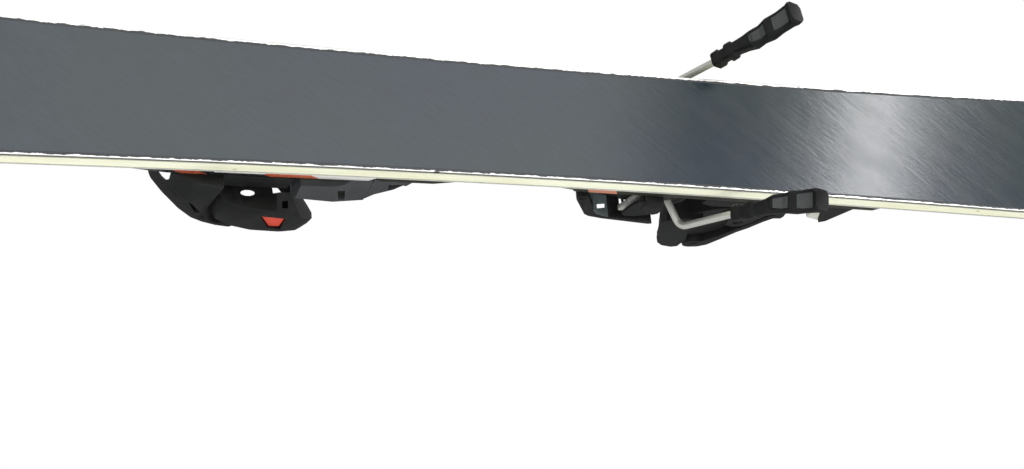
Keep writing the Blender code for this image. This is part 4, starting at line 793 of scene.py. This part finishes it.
for side, way in (("left", 1), ("right", -1)):
    for order, line in enumerate(BEAD_LINES):
        flat_route = bent_route([Vector((x, 0.0, z)) for x, z in line], BEAD_BEND, BEAD_BEND_STEPS)
        points = [Vector((spot.x, way * (cover_side(spot.x) - BEAD_SUNK * BEAD_RADIUS), spot.z))
                  for spot in flat_route]
        bead = grow(swept_wire, "nose_bead_%s_%d" % (side, order + 1),
                    route_mesh("nose_bead", points),
                    {"Radius": BEAD_RADIUS, "Sides": BEAD_SIDES, "Finish": black_polyamide}, "ski")

# Treads and grips: rows of small ribs moulded where a boot or a hand rests, one shape
# repeated at an even step. The scale beside the setting window is a row of thin pale ones.
RIB_SUNK = 0.0003
RIB_PROFILE = (
    (-1.0, 0.0), (-1.0, 0.35), (-0.62, 0.85), (-0.25, 1.0),
    (0.25, 1.0), (0.62, 0.85), (1.0, 0.35), (1.0, 0.0))
RIB_ENDS = ((-1.0, 0.25), (-0.94, 1.0), (0.94, 1.0), (1.0, 0.25))

ribbing, taken, given = new_growth("row_of_ribs", (
    ("Rib", "Geometry"), ("Count", "Int"), ("Step", "Vector"), ("Finish", "Material")), "Ribs")
row = add(ribbing, "GeometryNodeMeshLine", {
    "Count": taken.outputs["Count"], "Offset": taken.outputs["Step"]})
placed = add(ribbing, "GeometryNodeInstanceOnPoints", {
    "Points": row.outputs[0], "Instance": taken.outputs["Rib"]})
end_growth(ribbing, placed.outputs[0], taken.outputs["Finish"], given)


def join_loops(shape, one, other):
    """Close the side between two loops of corners."""
    for i in range(len(one)):
        after = (i + 1) % len(one)
        shape.faces.new((one[i], one[after], other[after], other[i]))


def rib_bar(centre, up, half_wide, half_long, high):
    """A low rounded rib across the ski, standing on a surface that faces up, its ends sloped."""
    up = Vector(up).normalized()
    ahead = Vector((0.0, 1.0, 0.0)).cross(up)
    shape = bmesh.new()
    rings = []
    for reach, tall in RIB_ENDS:
        middle = Vector(centre) + Vector((0.0, reach * half_long, 0.0))
        rings.append([
            shape.verts.new(middle + ahead * across * half_wide
                            + up * (rise * tall * high if rise else -RIB_SUNK))
            for across, rise in RIB_PROFILE])
    for one, other in zip(rings, rings[1:]):
        join_loops(shape, one, other)
    shape.faces.new(rings[0])
    shape.faces.new(rings[-1])
    bmesh.ops.recalc_face_normals(shape, faces=shape.faces)
    seed = bpy.data.meshes.new("rib")
    shape.to_mesh(seed)
    shape.free()
    return seed


def row_of_ribs(name, body, finish, count, step, centre, up, half_wide, half_long, high):
    """A row of ribs on one body: its first rib's centre, and the step to each next one."""
    made = grow(ribbing, name, rib_bar(centre, up, half_wide, half_long, high),
                {"Count": count, "Step": step, "Finish": finish}, body)


row_of_ribs("pedal_tread", nodes["brake_pedal"]["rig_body"], black_polyamide,
            count=7, step=(-0.0046, 0.0, 0.00083), centre=(-0.0660, 0.0, 0.06132),
            up=(0.18, 0.0, 0.98), half_wide=0.0009, half_long=0.0230, high=0.0004)
row_of_ribs("lever_grip", nodes["heel_lever"]["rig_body"], black_polyamide,
            count=5, step=(-0.00083, 0.0, -0.0036), centre=(-0.17505, 0.0, 0.0836),
            up=(-0.974, 0.0, 0.224), half_wide=0.0008, half_long=0.0150, high=0.0006)
for side, way in (("left", 1), ("right", -1)):
    row_of_ribs("setting_scale_" + side, "ski", satin_nickel,
                count=4, step=(0.0020, 0.0, -0.0005), centre=(0.1580, way * 0.0062, 0.08055),
                up=(0.24, 0.0, 0.97), half_wide=0.00025, half_long=0.0014, high=0.00012)

# Setting window: a clear polycarbonate pane, let into the toe housing above the nut and
# slightly hazed by handling.
PANE_CLEAR = (0.92, 0.94, 0.93)
PANE_HAZY = (0.80, 0.82, 0.80)
clear_pane, tree, shader = new_finish("clear_pane")
haze = noise(tree, own_place(tree), scale=300.0, detail=4.0)
tree.links.new(mix(tree, span(tree, haze, 0.4, 0.8), PANE_CLEAR, PANE_HAZY),
               shader.inputs["Base Color"])
tree.links.new(span(tree, haze, 0.4, 0.8, 0.05, 0.16), shader.inputs["Roughness"])
shader.inputs["Transmission Weight"].default_value = 0.9
shader.inputs["IOR"].default_value = 1.58
dress("toe_window", clear_pane, radius=0.0004, suffix="pane")

# Sole plate: a dark grey ramp behind the toe piece that carries the boot's sole, with a
# pale low-friction slider let into its top. Its tongue lies on a thin olive rubber strip. The
# faces of the side pockets get the strip's dark olive too, as painted shade in the recesses.
STRIP_TOP = 0.0204
POCKET_BEYOND = 0.025
POCKET_FACING = 0.995
dark_grey = moulded_plastic(
    "dark_grey_polyamide", colour=(0.040, 0.042, 0.046), rubbed=(0.13, 0.13, 0.13), smooth=0.40)
pale_acetal = moulded_plastic(
    "pale_acetal", colour=(0.46, 0.46, 0.42), rubbed=(0.62, 0.62, 0.58), smooth=0.34)
olive_rubber_and_pocket_shade = moulded_plastic(
    "olive_rubber_and_pocket_shade", colour=(0.016, 0.017, 0.010), rubbed=(0.05, 0.05, 0.035), smooth=0.55)
for node in ("sole_plate", "sole_plate_tongue"):
    shape = merged_copy(node)
    for face in shape.faces:
        spot = face.calc_center_median()
        # Faces of the side pockets take the dark olive finish as painted shade.
        is_shaded_pocket = abs(face.normal.y) > POCKET_FACING and abs(spot.y) > POCKET_BEYOND
        if spot.z < STRIP_TOP or is_shaded_pocket:
            face.material_index = 1
    settle(shape, node + "_moulding", "ski", dark_grey, olive_rubber_and_pocket_shade, stands_for=(node,))
dress("sole_slider", pale_acetal)
row_of_ribs("slider_tread", nodes["sole_slider"]["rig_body"], pale_acetal,
            count=6, step=(0.0050, 0.0, 0.0), centre=(0.1036, 0.0, 0.0475),
            up=(0.0, 0.0, 1.0), half_wide=0.0007, half_long=0.0260, high=0.0003)

# Brake base: a black polyamide tray on the rear plate. Two posts at its back carry the
# brake bar, and the lugs and ears in front carry the pedal and the links.
dress("brake_base", black_polyamide)

# Brake guards: a thin web on each ear of the base, moulded with it in black polyamide. It
# stands outside the pedal and the links, and closes the side between them.
GUARD_SIDE = (
    (-0.0790, 0.0260), (-0.0722, 0.0210), (-0.0672, 0.0210), (-0.0658, 0.0240),
    (-0.0654, 0.0330), (-0.0664, 0.0420), (-0.0700, 0.0455), (-0.0760, 0.0450),
    (-0.0840, 0.0415), (-0.0840, 0.0340))
GUARD_INNER = 0.0361
GUARD_OUTER = 0.0382
for side, way in (("left", 1), ("right", -1)):
    shape = bmesh.new()
    near = [shape.verts.new((x, way * GUARD_INNER, z)) for x, z in GUARD_SIDE]
    far = [shape.verts.new((x, way * GUARD_OUTER, z)) for x, z in GUARD_SIDE]
    shape.faces.new(near)
    shape.faces.new(far)
    join_loops(shape, near, far)
    bmesh.ops.recalc_face_normals(shape, faces=shape.faces)
    guard = settle(shape, "brake_guard_" + side, "ski", black_polyamide)

# Brake pedal: a black polyamide plate that the boot presses down. The faces that look down
# under its front get a lighter slate grey, which is painted light.
UNDERSIDE_LEVEL = 0.050
UNDERSIDE_FACING = -0.6
LIT_UNDERSIDE_BACK = -0.0655
LIT_UNDERSIDE_HALF = 0.029
slate_painted_light = moulded_plastic(
    "slate_painted_light", colour=(0.12, 0.15, 0.15), rubbed=(0.22, 0.24, 0.24), smooth=0.40)


def split(shape, place, facing):
    """Cut a mesh's faces along a plane, so that its two sides can have their own finish."""
    everything = shape.verts[:] + shape.edges[:] + shape.faces[:]
    bmesh.ops.bisect_plane(shape, geom=everything, plane_co=place, plane_no=facing)


shape = merged_copy("brake_pedal")
split(shape, (LIT_UNDERSIDE_BACK, 0.0, 0.0), (1.0, 0.0, 0.0))
# Faces that look down under the pedal's front take the lighter slate: painted light.
for face in shape.faces:
    spot = face.calc_center_median()
    looks_down = face.normal.z < UNDERSIDE_FACING and spot.z > UNDERSIDE_LEVEL
    if looks_down and spot.x > LIT_UNDERSIDE_BACK and abs(spot.y) < LIT_UNDERSIDE_HALF:
        face.material_index = 1
settle(shape, "brake_pedal_moulding", nodes["brake_pedal"]["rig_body"], black_polyamide,
       slate_painted_light, stands_for=("brake_pedal",))

# Brake bar: one satin nickelled steel bar, bent cold, that is both arms and the crank
# between them. It turns in the posts of the base.
WIRE_RADIUS = 0.0022
WIRE_SIDES = 24
WIRE_BEND = 0.0060
WIRE_PIVOT = Vector((-0.0985, 0.0, 0.0420))
WIRE_SIDE = (
    (-0.0280, 0.0495, -0.0560), (-0.0065, 0.0445, 0.0), (0.0, 0.0285, 0.0),
    (0.0, 0.0165, 0.0), (0.0155, 0.0165, 0.0120))
corners = [WIRE_PIVOT + Vector(corner) for corner in WIRE_SIDE]
corners += [Vector((corner.x, -corner.y, corner.z)) for corner in reversed(corners)]
grow(swept_wire, "brake_wire_bar", route_mesh("brake_wire_bar", bent_route(corners, WIRE_BEND)),
     {"Radius": WIRE_RADIUS, "Sides": WIRE_SIDES, "Finish": satin_nickel},
     nodes["brake_wire"]["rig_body"], ("brake_wire",))

# Brake feet and links: black feet moulded on the bar's ends, with two dished pads of hard
# rubber on either broad face, and two pressed steel links that lift the arms in. The pads'
# lighter grey is partly painted light: it stands for the light that the fluted faces catch.
PAD_REACHES = ((0.47, 0.67), (0.735, 0.94))
PAD_FACING = 0.75
PAD_RIM = 0.0011
PAD_DEPTH = 0.0006
FOOT_TOP = Vector((-0.1200, 0.0480, 0.0025))
FOOT_REACH = Vector((-0.0225, 0.0095, -0.0570))
hard_rubber_and_facet_light = moulded_plastic(
    "hard_rubber_and_facet_light", colour=(0.058, 0.064, 0.064), rubbed=(0.19, 0.20, 0.19), smooth=0.34, sheen=0.40)
for side in ("left", "right"):
    foot = "brake_foot_" + side
    shape = merged_copy(foot)
    way = Vector((1.0, math.copysign(1.0, nodes[foot].data.vertices[0].co.y), 1.0))
    top = FOOT_TOP * way
    reach = FOOT_REACH * way
    broad = reach.cross(Vector((0.0, way.y, 0.0))).normalized()
    for low, high in PAD_REACHES:
        split(shape, top + reach * low, reach)
        split(shape, top + reach * high, reach)
        for facing in (broad, -broad):
            pad = []
            for face in shape.faces:
                down = (face.calc_center_median() - top).dot(reach) / reach.length_squared
                if face.normal.dot(facing) > PAD_FACING and low < down < high:
                    pad.append(face)
            bmesh.ops.inset_region(
                shape, faces=pad, thickness=PAD_RIM, depth=-PAD_DEPTH, use_even_offset=True)
            # The pads take the lighter grey, which is partly painted light on the fluted faces.
            for face in pad:
                face.material_index = 1
    settle(shape, foot + "_moulding", nodes[foot]["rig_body"], black_polyamide, hard_rubber_and_facet_light,
           stands_for=(foot,), radius=0.0005, turn=20)
    dress("lift_link_" + side, satin_nickel, radius=0.0004, suffix="steel")

# Heel piece: carriage, housing and lever in black polyamide, with the end wedge behind
# and the pale tab of the position lock between them.
dress("heel_carriage", black_polyamide, radius=0.0008)
dress("heel_housing", black_polyamide, radius=0.0016, steps=3)
dress("heel_lever", black_polyamide, radius=0.0016, steps=3)
dress("end_wedge", black_polyamide)
dress("position_lock", pale_acetal)

# Floor: a pale matt floor at the lowest point of the ski. It is clear from below, so that
# the view from under the ski is open.
FLOOR_COLOUR = (0.90, 0.90, 0.89)
FLOOR_GRIT = (0.86, 0.86, 0.85)
FLOOR_HALF = 3.0
floor_finish, tree, shader = new_finish("pale_floor")
shader.inputs["Roughness"].default_value = 0.8
grit = noise(tree, own_place(tree), scale=30.0, detail=4.0)
tree.links.new(mix(tree, grit, FLOOR_COLOUR, FLOOR_GRIT), shader.inputs["Base Color"])
clear = add(tree, "ShaderNodeBsdfTransparent")
behind = add(tree, "ShaderNodeNewGeometry").outputs["Backfacing"]
one_way = add(tree, "ShaderNodeMixShader", {0: behind, 1: shader.outputs[0], 2: clear.outputs[0]})
tree.links.new(one_way.outputs[0], tree.nodes["Material Output"].inputs["Surface"])
floor_mesh = bpy.data.meshes.new("floor")
floor_mesh.from_pydata(
    [(x * FLOOR_HALF, y * FLOOR_HALF, cad_low.z) for x, y in ((-1, -1), (1, -1), (1, 1), (-1, 1))],
    [], [(0, 1, 2, 3)])
floor_mesh.materials.append(floor_finish)
floor = new_object("floor", floor_mesh)
floor.visible_shadow = False
floor.visible_glossy = False

# Surround: an even white studio. The view sees it white, shiny surfaces see a dimmer ceiling
# than floor, and it lights everything softly.
SURROUND_LIGHT = 0.62
CEILING_SHINE = 0.15
CEILING_RISE = (0.15, 0.65)
world = bpy.data.worlds.new("white_surround")
bpy.context.scene.world = world
world.use_nodes = True
tree = world.node_tree
path = add(tree, "ShaderNodeLightPath")
glossy = path.outputs["Is Glossy Ray"]
straight = maths(tree, path.outputs["Is Camera Ray"], path.outputs["Is Transmission Ray"],
                 "MAXIMUM")
direction = add(tree, "ShaderNodeSeparateXYZ", {
    "Vector": add(tree, "ShaderNodeTexCoord").outputs["Generated"]})
ceiling = span(tree, direction.outputs["Z"], *CEILING_RISE, 1.0, CEILING_SHINE)
seen = maths(tree, straight, maths(tree, glossy, ceiling), "MAXIMUM")
either = maths(tree, straight, glossy, "MAXIMUM")
shared = maths(tree, maths(tree, 1.0, either, "SUBTRACT"), SURROUND_LIGHT)
tree.links.new(maths(tree, seen, shared, "ADD"), tree.nodes["Background"].inputs["Strength"])
tree.nodes["Background"].inputs["Color"].default_value = (1.0, 1.0, 1.0, 1.0)

# Lamps: soft boxes above and beside the ski, and two below it that show in the polished
# base as the bright band and its pale edge.
WIDE_ALONG = Vector((1.0, 0.0, 0.0))


def lamp(name, place, aim, wide, high, power, mirrored=False):
    """A soft box at a place, turned to a point, that shows in shiny surfaces only where told."""
    light = bpy.data.lights.new(name, "AREA")
    light.shape = "RECTANGLE"
    light.size = wide
    light.size_y = high
    light.energy = power
    made = new_object(name, light)
    away = (Vector(place) - Vector(aim)).normalized()
    across = (WIDE_ALONG - away * away.dot(WIDE_ALONG)).normalized()
    turn = Matrix((across, away.cross(across), away)).transposed()
    made.matrix_world = Matrix.Translation(place) @ turn.to_4x4()
    made.visible_glossy = mirrored


lamp("top_box", place=(0.3, -0.4, 2.4), aim=(0.0, 0.0, 0.0), wide=2.0, high=1.4, power=34.0)
lamp("side_box", place=(0.2, -2.6, 0.1), aim=(0.0, 0.0, 0.0), wide=2.4, high=0.8, power=22.0)
lamp("base_box", place=(-0.50, 0.78, -1.95), aim=(0.1, 0.0, 0.0), wide=1.24, high=0.5,
     power=4.5, mirrored=True)
lamp("base_strip", place=(-1.55, 0.70, -1.80), aim=(-0.22, 0.0, 0.0), wide=0.08, high=0.6,
     power=4.2, mirrored=True)
